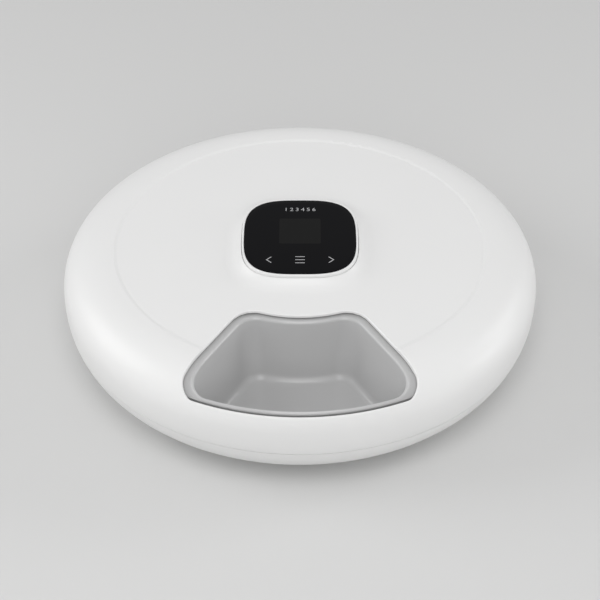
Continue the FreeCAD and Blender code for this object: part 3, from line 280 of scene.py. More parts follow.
def wedgeLoop(size, steps):
    # a rounded wedge about -Y as seen from above: points and outward directions, in mm, anticlockwise
    # size: angle, side, inner, outer, cornerIn, cornerOut; arcs and sides get half the steps, corners a third
    half, inner, outer = radians(size["angle"] / 2), size["inner"], size["outer"]
    along = np.array([sin(half), -cos(half)])            # the right side's bounding line
    inward = np.array([-cos(half), -sin(half)])          # from that line to the wedge's middle
    cornerIn, cornerOut = size["cornerIn"], size["cornerOut"]
    inDepth, outDepth = size["side"] + cornerIn, size["side"] + cornerOut
    inCentre = along * sqrt((inner + cornerIn) ** 2 - inDepth ** 2) + inward * inDepth
    outCentre = along * sqrt((outer - cornerOut) ** 2 - outDepth ** 2) + inward * outDepth

    def arc(centre, radius, first, last, count, outwards=1):
        turn = np.linspace(first, last, count, endpoint=False)
        spoke = np.column_stack([np.cos(turn), np.sin(turn)])
        return centre + radius * spoke, outwards * spoke

    outAngle, inAngle = atan2(outCentre[1], outCentre[0]), atan2(inCentre[1], inCentre[0])
    sideAngle = atan2(-inward[1], -inward[0])
    share = np.linspace(0, 1, steps // 2, endpoint=False)[:, None]
    line = (outCentre - inward * cornerOut) * (1 - share) + (inCentre - inward * cornerIn) * share
    pieces = [arc(np.zeros(2), outer, -pi / 2, outAngle, steps // 2),
              arc(outCentre, cornerOut, outAngle, sideAngle, steps // 3),
              (line, np.repeat(-inward[None], len(share), 0)),
              arc(inCentre, cornerIn, sideAngle, inAngle + pi, steps // 3),
              arc(np.zeros(2), inner, inAngle, -pi / 2, steps // 2, -1)]
    right = [np.vstack(group) for group in zip(*pieces)]
    middle = np.array([[0, -inner]]), np.array([[0.0, 1.0]])
    return [np.vstack([side, centre, side[:0:-1] * (-1, 1)]) for side, centre in zip(right, middle)]


def sectorBound(outTurns, outReach, inTurns, inReach, side):
    # a sector's flat outline: along its outer edge, in along one side, back along the inner edge and out
    # side: the reaches from the outer edge to the inner one
    reach = np.concatenate([outReach[:-1], side[:-1], inReach[:-1], side[:0:-1]])
    ends = [np.full(len(side) - 1, outTurns[end]) for end in (-1, 0)]
    return flatSpot(reach, np.concatenate([outTurns[:-1], ends[0], inTurns[:-1], ends[1]]))


sectorHeart = np.array([0, -116.0])          # in mm; the spokes of a sector's mesh start here


def spokePicker(loop, bound):
    # gives a function that reads values kept along the flat loop where the spokes to bound cross it
    def spin(places):
        return np.unwrap(np.arctan2(places[:, 1] - sectorHeart[1], places[:, 0] - sectorHeart[0]))

    loopSpin, boundSpin = spin(loop), spin(bound)
    boundSpin += 2 * pi * round((loopSpin.mean() - boundSpin.mean()) / (2 * pi))
    order = np.concatenate([loopSpin - 2 * pi, loopSpin, loopSpin + 2 * pi])

    def pick(values):
        return np.column_stack([np.interp(boundSpin, order, column) for column in np.tile(values, (3, 1)).T])

    return pick


# control head outline, shared by the head, its glass and the lid's opening

head = {
    "halfWide": 39.0,
    "halfDeep": 42.6,
    "power": 3.25,           # squareness
    "rise": 6.6,             # above the lid's recessed top
    "bezel": 1.35,           # width of the white rim round the glass
    "bezelProud": 1.2,       # rim above the lid's collar
    "edge": 0.55,            # rounding of the rim
    "innerEdge": 0.25,       # rounding of the rim beside the glass
    "ledge": 1.6,            # shelf that carries the glass
    "glassThick": 2.0,
    "discRadius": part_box("head_shell")[1].x / mm,
    "discLow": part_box("head_shell")[0].z / mm,
    "discThick": 1.5,
    "discEdge": 0.3,
    "overlap": 1.5,          # how far the disc reaches into the tower's wall
    "screwRing": 56.6,
    "screwTurns": (-20, 20, 160, 200),
    "screwHead": 2.1,
    "screwSunk": 0.9,
    "columns": 192,
    "sunkColumns": 36,
    "growRange": (-30.0, 160.0),       # every place lies this far outside the outline
    "halvings": 40,
}
recessTop = headTop - head["rise"]


def headReach(turn, grow):
    # distance from the axis to the head's outline, made larger by grow, in a direction
    wide, deep, power = head["halfWide"] + grow, head["halfDeep"] + grow, head["power"]
    return (np.abs(np.cos(turn) / wide) ** power + np.abs(np.sin(turn) / deep) ** power) ** (-1 / power)


def headGrow(x, y):
    # how far a place lies outside the head's outline, found by halving
    low, high = (np.full(np.shape(x), limit) for limit in head["growRange"])
    power = head["power"]
    for _ in range(head["halvings"]):
        middle = (low + high) / 2
        share = (np.abs(x) / (head["halfWide"] + middle)) ** power
        outside = share + (np.abs(y) / (head["halfDeep"] + middle)) ** power > 1
        low, high = np.where(outside, middle, low), np.where(outside, high, middle)
    return (low + high) / 2


# the lid

lid = {
    "stepRadius": 124.0,     # the soft step round the recessed top
    "stepWide": 2.6,
    "collarWide": 13.0,      # soft collar that rises to the head
    "collarPower": 2.7,      # how late it rises
    "collarEnd": 75.0,       # it lies within this radius
    "play": 0.28,            # gap between lid and head
    "holeEdge": 0.35,
    "rimEdge": 0.15,
    "window": {"angle": 60.0, "side": 1.8, "inner": 75.6, "outer": 155.4,
               "cornerIn": 15.2, "cornerOut": 10.0},
    "windowEdge": 1.0,
    # how finely it is made
    "collarRings": (1.6, 1.5, 13),     # first one's distance from the head, last one's past the collar, count
    "stepRings": (0.4, 9),             # the outer ones' distance past the step, count
    "flatRings": (1.2, 9),             # the last one's distance from the step, count
    "shoulderRings": 34,
    "backColumns": 150,
    "frontTurn": 46.0,       # the mesh round the window reaches this far each side of -Y, in degrees
    "frontColumns": (121, 91),         # at the seam, at the head's opening
    "windowSteps": 1200,
    "windowRings": (14, 8, 34),        # on the underside, over the edge, on the top
    "windowWall": (0.35, 0.7),         # rings up the window's wall, as shares of it
    "windowSpread": 1.2,     # how much closer the top's rings lie near the edge
    # the lock's recess at the back, with the pad of wall that it is cut into
    "lockMiddle": 3.0,
    "lockHeight": 44.6,
    "lockWide": 20.6,
    "lockTall": 8.6,
    "lockFloor": 158.0,
    "lockCorner": 1.6,
    "stemWide": 14.6,
    "stemTall": 4.6,
    "padWide": 26.0,
    "padTall": 12.0,
    "padInside": 155.4,
    "padGap": 0.1,           # the pad ends this far inside the recess's floor
    "lockPast": 5.0,         # the cutting boxes reach this far past the wall
}
collarTop = head["rise"] - head["bezelProud"]
lidOuter = bodyCurve(0, body["seam"] + lid["rimEdge"])
lidInner = bodyCurve(body["wall"], body["seam"])
lidRun = lengthAlong(lidOuter)[-1]
innerStretch = lengthAlong(lidInner)[-1] / lidRun


def collarHeight(grow):
    return collarTop * np.clip(1 - grow / lid["collarWide"], 0, 1) ** lid["collarPower"]


def stepDrop(radius):
    share = np.clip((radius - lid["stepRadius"]) / lid["stepWide"] + 0.5, 0, 1)
    return (body["crest"] - recessTop) * (1 - share * share * (3 - 2 * share))


def onCurve(curve, reach, turn, isTop=False):
    # a place on the round body: reach runs flat to the crest's edge, then along the curve
    run, along = lengthAlong(curve), reach - topStart
    radius = np.where(along < 0, reach, np.interp(along, run, curve[:, 0]))
    height = np.where(along < 0, curve[0, 1], np.interp(along, run, curve[:, 1]))
    x, y = radius * np.cos(turn), radius * np.sin(turn)
    if isTop:
        collar = np.where(radius < lid["collarEnd"], collarHeight(headGrow(x, y)), 0)
        height = height - stepDrop(radius) + collar
    return np.stack([x, y, height], -1)


def lidTop(reach, turn):
    return onCurve(lidOuter, reach, turn, isTop=True)


def lidUnderside(reach, turn):
    reach = np.where(reach > topStart, topStart + (reach - topStart) * innerStretch, reach)
    return onCurve(lidInner, reach, turn)


def lidReaches(turn):
    # the rings of the lid from the head's opening to the seam, in one direction
    first, beyond, count = lid["collarRings"]
    grows = np.linspace(first, lid["collarWide"] + beyond, count)
    collar = headReach(turn, np.concatenate([[lid["play"] + lid["holeEdge"]], grows]))
    stepAt, stepHalf = lid["stepRadius"], lid["stepWide"] / 2
    clear, count = lid["flatRings"]
    flat = np.linspace(collar[-1], stepAt - stepHalf - clear, count)[1:]
    beyond, count = lid["stepRings"]
    step = np.linspace(stepAt - stepHalf - beyond, stepAt + stepHalf + beyond, count)
    return np.concatenate([collar, flat, step, topStart + np.linspace(0, 1, lid["shoulderRings"]) * lidRun])


def openingRings(turn):
    # from the underside up the wall of the head's opening and over its rounded edge
    bottom, edge, play = lidInner[0, 1], lid["holeEdge"], lid["play"]
    high = recessTop + collarHeight(play + edge)
    places = [(play, bottom), (play, (bottom + high) / 2), (play, high - edge)]
    places += [(play + edge * (1 - cos(a)), high - edge + edge * sin(a)) for a in edgeTurns[:-1]]
    return [ringAt(headReach(turn, grow), turn, height) for grow, height in places]


def rimRings(turn):
    # from the outer wall's lower end round the edge and across the rim to the inner wall
    edge, seam, outside, inside = lid["rimEdge"], body["seam"], lidOuter[-1, 0], lidInner[-1, 0]
    places = [(outside - edge * (1 - cos(a)), seam + edge - edge * sin(a)) for a in edgeTurns]
    places.append(((outside + inside) / 2, seam))
    return [ringAt(radius, turn, height) for radius, height in places]


def lidBack():
    # everything but the stretch round the window: closed cross-sections, one for each direction
    side = radians(lid["frontTurn"])
    first = radians(-90 + lid["frontTurn"])
    turns = np.linspace(first, first + 2 * pi - 2 * side, lid["backColumns"])
    reaches = np.array([lidReaches(turn) for turn in turns]).T
    outer = [lidTop(reach, turns) for reach in reaches]
    inner = [lidUnderside(reach, turns) for reach in reaches]
    opening = openingRings(turns)
    rings = opening[1:] + outer + rimRings(turns) + inner[::-1] + opening[:1]
    return [np.concatenate(rings)], ringFaces(len(rings), len(turns), closed=False, endless=True)


def windowEdge(loop, outward):
    # the rounded edge round the window: its centre line, where it meets the skin above, and that laid flat
    edge, half = lid["windowEdge"], body["curveSteps"]
    skin, under = bodyCurve(0)[:half], bodyCurve(edge)[:half]
    centre = loop + outward * edge
    radius, turn = polar(centre)
    step = np.interp(radius, under[:, 0], np.arange(half))
    across, height, run, low = (np.interp(step, np.arange(half), values) for values in
                                (skin[:, 0], skin[:, 1], lengthAlong(skin), under[:, 1]))
    isFlat = radius < skin[0, 0]
    across, height = np.where(isFlat, radius, across), np.where(isFlat, skin[0, 1], height)
    reach = np.where(isFlat, radius, skin[0, 0] + run)
    low, drop = np.where(isFlat, under[0, 1], low), stepDrop(across)
    return (np.column_stack([centre, low - drop]), np.column_stack([flatSpot(across, turn), height - drop]),
            flatSpot(reach, turn))


def lidFront(points, faces):
    # the stretch round the food window: rings that grow from the window's edge to the stretch's bounds
    side = radians(lid["frontTurn"])
    atSeam, atHole = lid["frontColumns"]
    seamTurns = -pi / 2 + np.linspace(-side, side, atSeam)
    holeTurns = -pi / 2 + np.linspace(side, -side, atHole)
    seamReaches = np.full(atSeam, topStart + lidRun)
    holeReaches = np.array([lidReaches(turn)[0] for turn in holeTurns])
    bound = sectorBound(seamTurns, seamReaches, holeTurns, holeReaches, lidReaches(-pi / 2 + side)[::-1])

    loop, outward = wedgeLoop(lid["window"], lid["windowSteps"])
    middle, skin, skinFlat = windowEdge(loop, outward)
    loopRadius, loopTurn = polar(loop)
    innerAlong = np.interp(loopRadius, lidInner[:body["curveSteps"], 0],
                           lengthAlong(lidInner)[:body["curveSteps"]])
    underReach = np.where(loopRadius < topStart, loopRadius, topStart + innerAlong / innerStretch)
    pick = spokePicker(skinFlat, bound)
    plan, away, middle, skin = pick(loop), unit(pick(outward)), pick(middle), pick(skin)

    underRings, edgeRings, topRings = lid["windowRings"]
    underFlats = between(bound, pick(flatSpot(underReach, loopTurn)), np.linspace(0, 1, underRings))
    rings = [lidUnderside(*polar(flat)) for flat in underFlats]
    wallLow = rings[-1][:, 2]
    rings += [np.column_stack([plan, wallLow * (1 - share) + middle[:, 2] * share])
              for share in lid["windowWall"]]
    wallSpoke = np.column_stack([-away, np.zeros(len(away))])
    skinSpoke = unit(skin - middle)
    bend = np.arccos(np.clip((wallSpoke * skinSpoke).sum(1), -1, 1))
    for share in np.linspace(0, 1, edgeRings):
        spoke = np.sin((1 - share) * bend)[:, None] * wallSpoke + np.sin(share * bend)[:, None] * skinSpoke
        rings.append(middle + lid["windowEdge"] * spoke / np.sin(bend)[:, None])
    spread = np.linspace(0, 1, topRings)[1:] ** lid["windowSpread"]
    rings += [lidTop(*polar(flat)) for flat in between(pick(skinFlat), bound, spread)]
    faces += ringFaces(len(rings), len(bound), start=sum(map(len, points)))
    points.append(np.concatenate(rings))
    for turns, reaches, strip in ((holeTurns, holeReaches, openingRings(holeTurns)),
                                  (seamTurns, seamReaches, rimRings(seamTurns)[::-1])):
        addGrid(points, faces, [lidUnderside(reaches, turns)] + strip + [lidTop(reaches, turns)])


def lockBox(kind, inside, outside, corner=0.0):
    # a box about the lock's middle, between two depths from the axis
    wide, tall = lid[kind + "Wide"] / 2, lid[kind + "Tall"] / 2
    middle, height = lid["lockMiddle"], lid["lockHeight"]
    return boxTool((middle - wide, inside, height - tall), (middle + wide, outside, height + tall), corner)


def makeLid(material):
    points, faces = lidBack()
    lidFront(points, faces)
    shell = meshPiece("lidShell", np.concatenate(points), faces, material)
    cutAway(shell, lockBox("pad", lid["padInside"], lid["lockFloor"] - lid["padGap"]), operation="UNION")
    outside = body["radius"] + lid["lockPast"]
    return cutAway(shell, lockBox("lock", lid["lockFloor"], outside, lid["lockCorner"]),
                   lockBox("stem", lid["padInside"] - lid["lockPast"], outside))


# the food tray: one pocket's sector is modelled, then repeated round the axis

tray = {
    "skin": 3.9,             # its top lies this far inside the body's outline
    "wall": 1.6,
    "draft": 10.0,           # lean of the pockets' and the outer wall, in degrees
    "rimHeight": 63.0,       # where the sloping wall meets the rounded top
    "hole": 64.5,
    "holeEdge": 0.8,
    "bottom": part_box("food_tray")[0].z / mm,
    "pockets": 6,
    "side": 5.0,
    "inner": 77.3,
    "cornerIn": 13.0,
    "cornerOut": 10.0,
    "floor": 30.0,
    "floorRound": 6.0,
    "lip": 2.5,              # rounding of a pocket's rim
    "lipReach": 2.9,         # the most that this rounding may take off the top
    "rimIn": 1.2,            # the rim stands this much further in than the walls' foot would put it
    "hollowLow": 20.0,       # the space between the cups is cut from this height up
    "cupHigh": 90.0,         # the cups' outer shapes reach this high
    # how finely it is made
    "arcColumns": 60,
    "sideColumns": 36,
    "pocketSteps": 900,
    "cupSteps": 90,
    "hollowColumns": 180,
    "hollowSkip": 30,        # every so many points of the outline are enough inside
    "floorShares": (0.93, 0.8, 0.65, 0.48, 0.3, 0.14),   # the floor's rings, as shares from its edge
    "footRings": 11,
    "wallRings": 9,
    "lipRings": 8,
    "topRings": 7,
    "outerRings": 8,
    "underRings": 9,
    "holeHeights": (60.0, 44.0),       # rings on the wall round the hole
    "probeDown": 4.0,        # how far down and out the surfaces are felt at a rim, for their directions
    "probeOut": 0.05,
    "probeRounds": 12,       # how often the rim's height is felt again
}
slope = tan(radians(tray["draft"]))
trayTop = body["crest"] - tray["skin"]
traySkin = bodyCurve(tray["skin"], tray["rimHeight"])


def trayWall(height):
    return traySkin[-1, 0] - (tray["rimHeight"] - height) * slope


def trayHeight(radius):
    return np.where(radius < topStart, trayTop, np.interp(radius, traySkin[:, 0], traySkin[:, 1]))


def pocketLoop(lean, grow=0.0, pinch=0.0, steps=tray["pocketSteps"]):
    # the pocket's outline, leaned inwards; pinch also tightens its corners, as along a rounded floor edge
    return wedgeLoop({"angle": 360 / tray["pockets"], "side": tray["side"] + lean - grow,
                      "inner": tray["inner"] + lean - grow,
                      "outer": trayWall(trayTop) - tray["wall"] - lean + grow,
                      "cornerIn": tray["cornerIn"] + grow - pinch,
                      "cornerOut": tray["cornerOut"] + grow - pinch}, steps)


def footRings(floor, rounding):
    # (lean, height, pinch) of the rings from a wall's foot over the rounded floor edge
    centre, draft = floor + rounding, cos(radians(tray["draft"]))
    rings = []
    for angle in np.radians(np.linspace(tray["draft"], 90, tray["footRings"])):
        inset = rounding / draft - rounding * cos(angle)
        rings.append(((trayTop - centre) * slope + inset, centre - rounding * sin(angle),
                      rounding * (draft - cos(angle))))
    return rings


def pocketRim():
    # at the rim of a pocket: the sharp edge, and where its rounding meets the wall and the top
    steep = slope - tray["rimIn"] / (trayTop - tray["floor"] - tray["floorRound"])
    down, out = tray["probeDown"], tray["probeOut"]
    loop, outward = pocketLoop(tray["rimIn"])
    lower = pocketLoop(tray["rimIn"] + steep * down)[0]
    height = np.full(len(loop), trayTop)
    for _ in range(tray["probeRounds"]):
        share = ((trayTop - height) / down)[:, None]
        edgeAt = loop * (1 - share) + lower * share
        height = trayHeight(np.hypot(*edgeAt.T))
    downhill = unit(np.column_stack([lower - loop, np.full(len(loop), -down)]))
    outer = edgeAt + outward * out
    onward = unit(np.column_stack([outward * out, trayHeight(np.hypot(*outer.T)) - height]))
    halfBend = np.arccos(np.clip((downhill * onward).sum(1), -1, 1)) / 2
    size = np.minimum(tray["lip"] / np.tan(halfBend), tray["lipReach"])[:, None]
    edge = np.column_stack([edgeAt, height])
    return edge, edge + downhill * size, edge + onward * size


def traySector():
    # a sixth of the tray as an open mesh: pocket, top, outer wall, underside and the wall round the hole
    half, bottom, hole = radians(180 / tray["pockets"]), tray["bottom"], tray["hole"]
    outTurns = -pi / 2 + np.linspace(-half, half, tray["arcColumns"] + 1)
    inTurns = outTurns[::-1]
    rimReach, holeReach = topStart + lengthAlong(traySkin)[-1], hole + tray["holeEdge"]
    bound = sectorBound(outTurns, np.full_like(outTurns, rimReach), inTurns, np.full_like(inTurns, holeReach),
                        np.linspace(rimReach, holeReach, tray["sideColumns"] + 1))

    edge, lipWall, lipSkin = pocketRim()
    radius, turn = polar(lipSkin)
    along = topStart + np.interp(radius, traySkin[:, 0], lengthAlong(traySkin))
    skinFlat = flatSpot(np.where(radius < topStart, radius, along), turn)
    pick = spokePicker(skinFlat, bound)

    floorEdge = footRings(tray["floor"], tray["floorRound"])[::-1]
    last = pick(pocketLoop(floorEdge[0][0], pinch=floorEdge[0][2])[0])
    rings = [raised(last * (1 - share) + sectorHeart * share, tray["floor"]) for share in tray["floorShares"]]
    rings += [raised(pick(pocketLoop(lean, pinch=pinch)[0]), level) for lean, level, pinch in floorEdge]
    wallTop, lipEdge, lipEnd = pick(lipWall), pick(edge), pick(lipSkin)
    rings += between(rings[-1], wallTop, np.linspace(0, 1, tray["wallRings"])[1:-1])
    for share in np.linspace(0, 1, tray["lipRings"]):
        rings.append((1 - share) ** 2 * wallTop + 2 * share * (1 - share) * lipEdge + share ** 2 * lipEnd)
    rings += [onCurve(traySkin, *polar(flat)) for flat in
              between(pick(skinFlat), bound, np.linspace(0, 1, tray["topRings"])[1:])]
    faces = ringFaces(len(rings), len(bound)) + [tuple(range(len(bound)))[::-1]]
    points = [np.concatenate(rings)]

    wall = [(trayWall(z), z) for z in np.linspace(tray["rimHeight"], bottom, tray["outerRings"])]
    under = [(radius, bottom) for radius in np.linspace(hole, trayWall(bottom), tray["underRings"])]
    inside = [(hole + down, trayTop - inwards) for inwards, down in roundSteps(tray["holeEdge"])]
    inside += [(hole, z) for z in (*tray["holeHeights"], bottom)]
    for turns, outline in ((outTurns, wall), (outTurns, under), (inTurns, inside)):
        addGrid(points, faces, [ringAt(radius, turns, height) for radius, height in outline])
    return meshPiece("traySector", np.concatenate(points), faces)


# geometry nodes

def newTree(name, inputs):
    # a geometry tree with named inputs: name -> (socket type, value)
    tree = bpy.data.node_groups.new(name, "GeometryNodeTree")
    tree.interface.new_socket("Geometry", in_out="INPUT", socket_type="NodeSocketGeometry")
    for label, (kind, value) in inputs.items():
        socket = tree.interface.new_socket(label, in_out="INPUT", socket_type="NodeSocket" + kind)
        if value is not None:
            socket.default_value = value
    tree.interface.new_socket("Geometry", in_out="OUTPUT", socket_type="NodeSocketGeometry")
    return tree, tree.nodes.new("NodeGroupInput").outputs


def addNode(tree, kind, settings=None, **links):
    node = tree.nodes.new(kind)
    for label, value in (settings or {}).items():
        setattr(node, label, value)
    return setInputs(tree, node, **links)


def setInputs(tree, node, **links):
    # links: input name, with _ for a space, -> a socket or a plain value
    for label, value in links.items():
        connect(tree, node, label.replace("_", " "), value)
    return node


def connect(tree, node, label, value):
    socket = node.inputs[label]
    if isinstance(value, bpy.types.NodeSocket):
        tree.links.new(value, socket)
    else:
        socket.default_value = value


def mathNode(tree, operation, *values):
    node = addNode(tree, "ShaderNodeMath", {"operation": operation})
    for number, value in enumerate(values):
        connect(tree, node, number, value)
    return node.outputs[0]


def runTree(name, tree, values, piece):
    # runs a tree on a piece and keeps what it makes as plain mesh
    change = piece.modifiers.new("nodes", "NODES")
    change.node_group = tree
    for item in tree.interface.items_tree:
        if item.item_type == "SOCKET" and item.in_out == "INPUT" and item.name in values:
            change[item.identifier] = values[item.name]
    piece.name = name
    return freeze(piece)


def finishTree(tree, given, points, pattern, angle):
    # every tree ends alike: copies stand on points, turned, and become mesh with welded seams and a material
    turn = addNode(tree, "ShaderNodeCombineXYZ", Z=angle)
    node = addNode(tree, "GeometryNodeInstanceOnPoints", Points=points.outputs[0], Instance=pattern,
                   Rotation=turn.outputs[0])
    node = addNode(tree, "GeometryNodeRealizeInstances", Geometry=node.outputs[0])
    node = addNode(tree, "GeometryNodeMergeByDistance", Geometry=node.outputs[0], Distance=given["Weld"])
    node = addNode(tree, "GeometryNodeSetMaterial", Geometry=node.outputs[0], Material=given["Material"])
    addNode(tree, "NodeGroupOutput", Geometry=node.outputs[0])
    return tree


def roundAxisTree():
    # repeats the geometry it gets round the upright axis, at a radius
    tree, given = newTree("Repeat Round Axis", {
        "Count": ("Int", 6), "Radius": ("Float", 0.0), "First Angle": ("Float", 0.0),
        "Weld": ("Float", 0.00001), "Material": ("Material", None)})
    index = tree.nodes.new("GeometryNodeInputIndex")
    step = mathNode(tree, "DIVIDE", 2 * pi, given["Count"])
    angle = mathNode(tree, "MULTIPLY_ADD", index.outputs[0], step, given["First Angle"])
    across, along = (mathNode(tree, "MULTIPLY", mathNode(tree, part, angle), given["Radius"])
                     for part in ("COSINE", "SINE"))
    place = addNode(tree, "ShaderNodeCombineXYZ", X=across, Y=along)
    points = addNode(tree, "GeometryNodePoints", Count=given["Count"])
    placed = addNode(tree, "GeometryNodeSetPosition", Geometry=points.outputs[0], Position=place.outputs[0])
    return finishTree(tree, given, placed, given["Geometry"], angle)


def atSpotsTree():
    # puts a pattern piece on every point of the mesh it gets, turned by a seeded amount
    tree, given = newTree("Copies At Spots", {
        "Pattern": ("Object", None), "Turn": ("Float", 3.14), "Seed": ("Int", 3),
        "Weld": ("Float", 0.000001), "Material": ("Material", None)})
    pattern = addNode(tree, "GeometryNodeObjectInfo", Object=given["Pattern"])
    chance = addNode(tree, "FunctionNodeRandomValue", {"data_type": "FLOAT"}, Seed=given["Seed"])
    angle = mathNode(tree, "MULTIPLY", chance.outputs[1], given["Turn"])
    points = addNode(tree, "GeometryNodeMeshToPoints", Mesh=given["Geometry"])
    return finishTree(tree, given, points, pattern.outputs["Geometry"], angle)


# the tray's underside is cut hollow round the six cups

def cupTool():
    # the outside of one pocket's wall, as a solid that reaches past the tray's top
    wall, steps, high = tray["wall"], tray["cupSteps"], tray["cupHigh"]
    places = footRings(tray["bottom"], tray["floorRound"] + wall)[::-1]
    places.append((-(high - trayTop) * slope, high, 0))
    rings = [raised(pocketLoop(lean, wall, pinch, steps)[0], level) for lean, level, pinch in places]
    return loftRings("cup", rings, endless=False)


def makeTray(material, spinTree):
    values = {"Count": tray["pockets"], "Material": material}
    whole = finishMesh(runTree("foodTray", spinTree, values, traySector()), material, smoothBelow=30)
    wall, low, hole = tray["wall"], tray["hollowLow"], tray["hole"] + tray["wall"]
    inside = bodyCurve(tray["skin"] + wall, tray["rimHeight"])[::tray["hollowSkip"]]
    outline = [(hole, low), (hole, trayTop - wall), *inside, (trayWall(low) - wall, low)]
    hollow = lathe("hollow", outline, tray["hollowColumns"])
    cutAway(hollow, runTree("cups", spinTree, values, cupTool()))
    return cutAway(whole, hollow, smoothBelow=30)


# the control head: a squarish tower with a thin rim, on the round cover that closes the column

def headLoop(grow, height):
    turn = roundAxis(head["columns"])
    return ringAt(headReach(turn, grow), turn, height)


def makeHead(material):
    low, thick, edge, sunk = head["discLow"], head["discThick"], head["discEdge"], head["screwSunk"]
    inner, shelf = -head["bezel"], glassTop - head["glassThick"]
    outline = [(0.0, low)]
    outline += [(-inwards, headTop - down) for inwards, down in roundSteps(head["edge"])]
    outline += [(inner + inwards, headTop - down) for inwards, down in roundSteps(head["innerEdge"])[::-1]]
    outline += [(inner, shelf), (inner - head["ledge"], shelf), (inner - head["ledge"], low)]
    tower = loftRings("tower", [headLoop(grow, height) for grow, height in outline], material)

    turns = roundAxis(head["columns"])
    rings = [headLoop(-head["overlap"], low)]
    for inwards, up in ((edge, 0), (0, edge), (0, thick - edge), (edge, thick)):
        rings.append(ringAt(head["discRadius"] - inwards, turns, low + up))
    rings.append(headLoop(-head["overlap"], low + thick))
    cover = loftRings("controlHead", rings, material)

    top, wide = low + thick, head["screwHead"]
    outline = [(pinHole, top - sunk), (wide, top - sunk), (wide, top + past), (pinHole, top + past)]
    sinks = [lathe("sunk", outline, head["sunkColumns"], spot)
             for spot in spotsRound(head["screwRing"], head["screwTurns"])]
    return cutAway(cutAway(cover, *sinks), tower, operation="UNION", smoothBelow=32)


# the dark glass and what is seen on it

panel = {
    "edge": 0.2,             # ground edge of the glass
    "play": 0.12,
    "inRings": (4, 12, 22),  # the glass's top is one flat face inside these steps
    "windowWide": 27.8,
    "windowDeep": 28.0,
    "windowAt": 6.0,         # behind the middle of the glass
    "windowCorner": 1.2,
    "cornerSteps": 6,
    "windowLow": 0.4,        # how far it reaches into the glass
    "windowProud": 0.012,
    "ink": 0.03,             # thickness of the printed marks
    "keyPitch": 20.6,
    "keyRow": -25.6,
    "stroke": 0.62,
    "strokeSteps": 8,        # over a stroke's round end
    "arrowWide": 3.0,
    "arrowDeep": 6.0,
    "barWide": 6.4,
    "barPitch": 3.3,
    "digitRow": 30.6,
    "digitTall": 3.7,
    "digitPitch": 3.8,
    "digitShare": 0.7,       # a digit's height as a share of the letter size
}


def makeGlass(material):
    grow, edge, low = -head["bezel"] - panel["play"], panel["edge"], glassTop - head["glassThick"]
    outline = [(grow - edge, low), (grow, low + edge)]
    outline += [(grow - inwards, glassTop - down) for inwards, down in roundSteps(edge)]
    outline += [(grow - step, glassTop) for step in panel["inRings"]]
    rings = [headLoop(reach, height) for reach, height in outline]
    return loftRings("glassPanel", rings, material, endless=False, smoothBelow=40)


def flatPlate(name, outline, low, high, material):
    # a flat closed outline of (x, y) places, raised from low to high
    return loftRings(name, [raised(outline, low), raised(outline, high)], material, endless=False)


def makeWindow(material):
    corner = panel["windowCorner"]
    wide, deep = panel["windowWide"] / 2 - corner, panel["windowDeep"] / 2 - corner
    outline = []
    for quarter, (sideX, sideY) in enumerate(((1, 1), (-1, 1), (-1, -1), (1, -1))):
        for turn in np.linspace(quarter, quarter + 1, panel["cornerSteps"]) * pi / 2:
            outline.append((sideX * wide + corner * cos(turn),
                            panel["windowAt"] + sideY * deep + corner * sin(turn)))
    return flatPlate("displayWindow", np.array(outline), glassTop - panel["windowLow"],
                     glassTop + panel["windowProud"], material)


def makeStroke(name, path, material):
    # a flat line of constant width with rounded ends, printed on the glass
    path, half = np.array(path, float), panel["stroke"] / 2
    legs = np.diff(path, axis=0)
    legs = np.vstack([legs[:1], legs, legs[-1:]])            # one before and one after every corner
    left, right = [], []
    for spot, before, after in zip(path, legs, legs[1:]):
        heading = before / np.linalg.norm(before) + after / np.linalg.norm(after)
        heading /= np.linalg.norm(heading)
        across = np.array([-heading[1], heading[0]])
        reach = half / abs(np.dot(across, np.array([-after[1], after[0]]) / np.linalg.norm(after)))
        left.append(spot + across * reach)
        right.append(spot - across * reach)

    def cap(centre, heading):
        start = atan2(heading[1], heading[0])
        return [centre + half * np.array([cos(a), sin(a)])
                for a in start + np.linspace(pi / 2, -pi / 2, panel["strokeSteps"])[1:-1]]

    outline = left + cap(path[-1], path[-1] - path[-2]) + right[::-1] + cap(path[0], path[0] - path[1])
    return flatPlate(name, np.array(outline), glassTop - panel["ink"], glassTop + panel["ink"], material)


def makeDigit(text, x, ink):
    letter = bpy.data.curves.new("digit", "FONT")
    letter.body = text
    letter.size = panel["digitTall"] * mm / panel["digitShare"]
    letter.extrude = panel["ink"] * mm
    letter.align_x = "CENTER"
    holder = addObject("digit", letter)
    bpy.context.view_layer.update()
    mesh = bpy.data.meshes.new_from_object(holder)
    bpy.data.objects.remove(holder)
    place = x * mm, (panel["digitRow"] - panel["digitTall"] / 2) * mm, glassTop * mm
    mesh.transform(Matrix.Translation(place))
    return finishMesh(addObject("digit", mesh), ink, smoothBelow=30)


def makeMarks(ink):
    # an arrow each side of a menu mark, and the numbers of the meals
    row, reachX, reachY = panel["keyRow"], panel["arrowWide"] / 2, panel["arrowDeep"] / 2
    marks = []
    for side in (-1, 1):
        x = side * panel["keyPitch"]
        back, tip = x - side * reachX, x + side * reachX
        marks.append(makeStroke("arrow", [(back, row + reachY), (tip, row), (back, row - reachY)], ink))
    reach = (panel["barWide"] - panel["stroke"]) / 2
    for bar in (-1, 0, 1):
        y = row + bar * panel["barPitch"]
        marks.append(makeStroke("bar", [(-reach, y), (reach, y)], ink))
    for number in range(tray["pockets"]):
        x = (number - (tray["pockets"] - 1) / 2) * panel["digitPitch"]
        marks.append(makeDigit(str(number + 1), x, ink))
    return joinPieces("panelMarks", marks, ink)


# rubber feet and screws

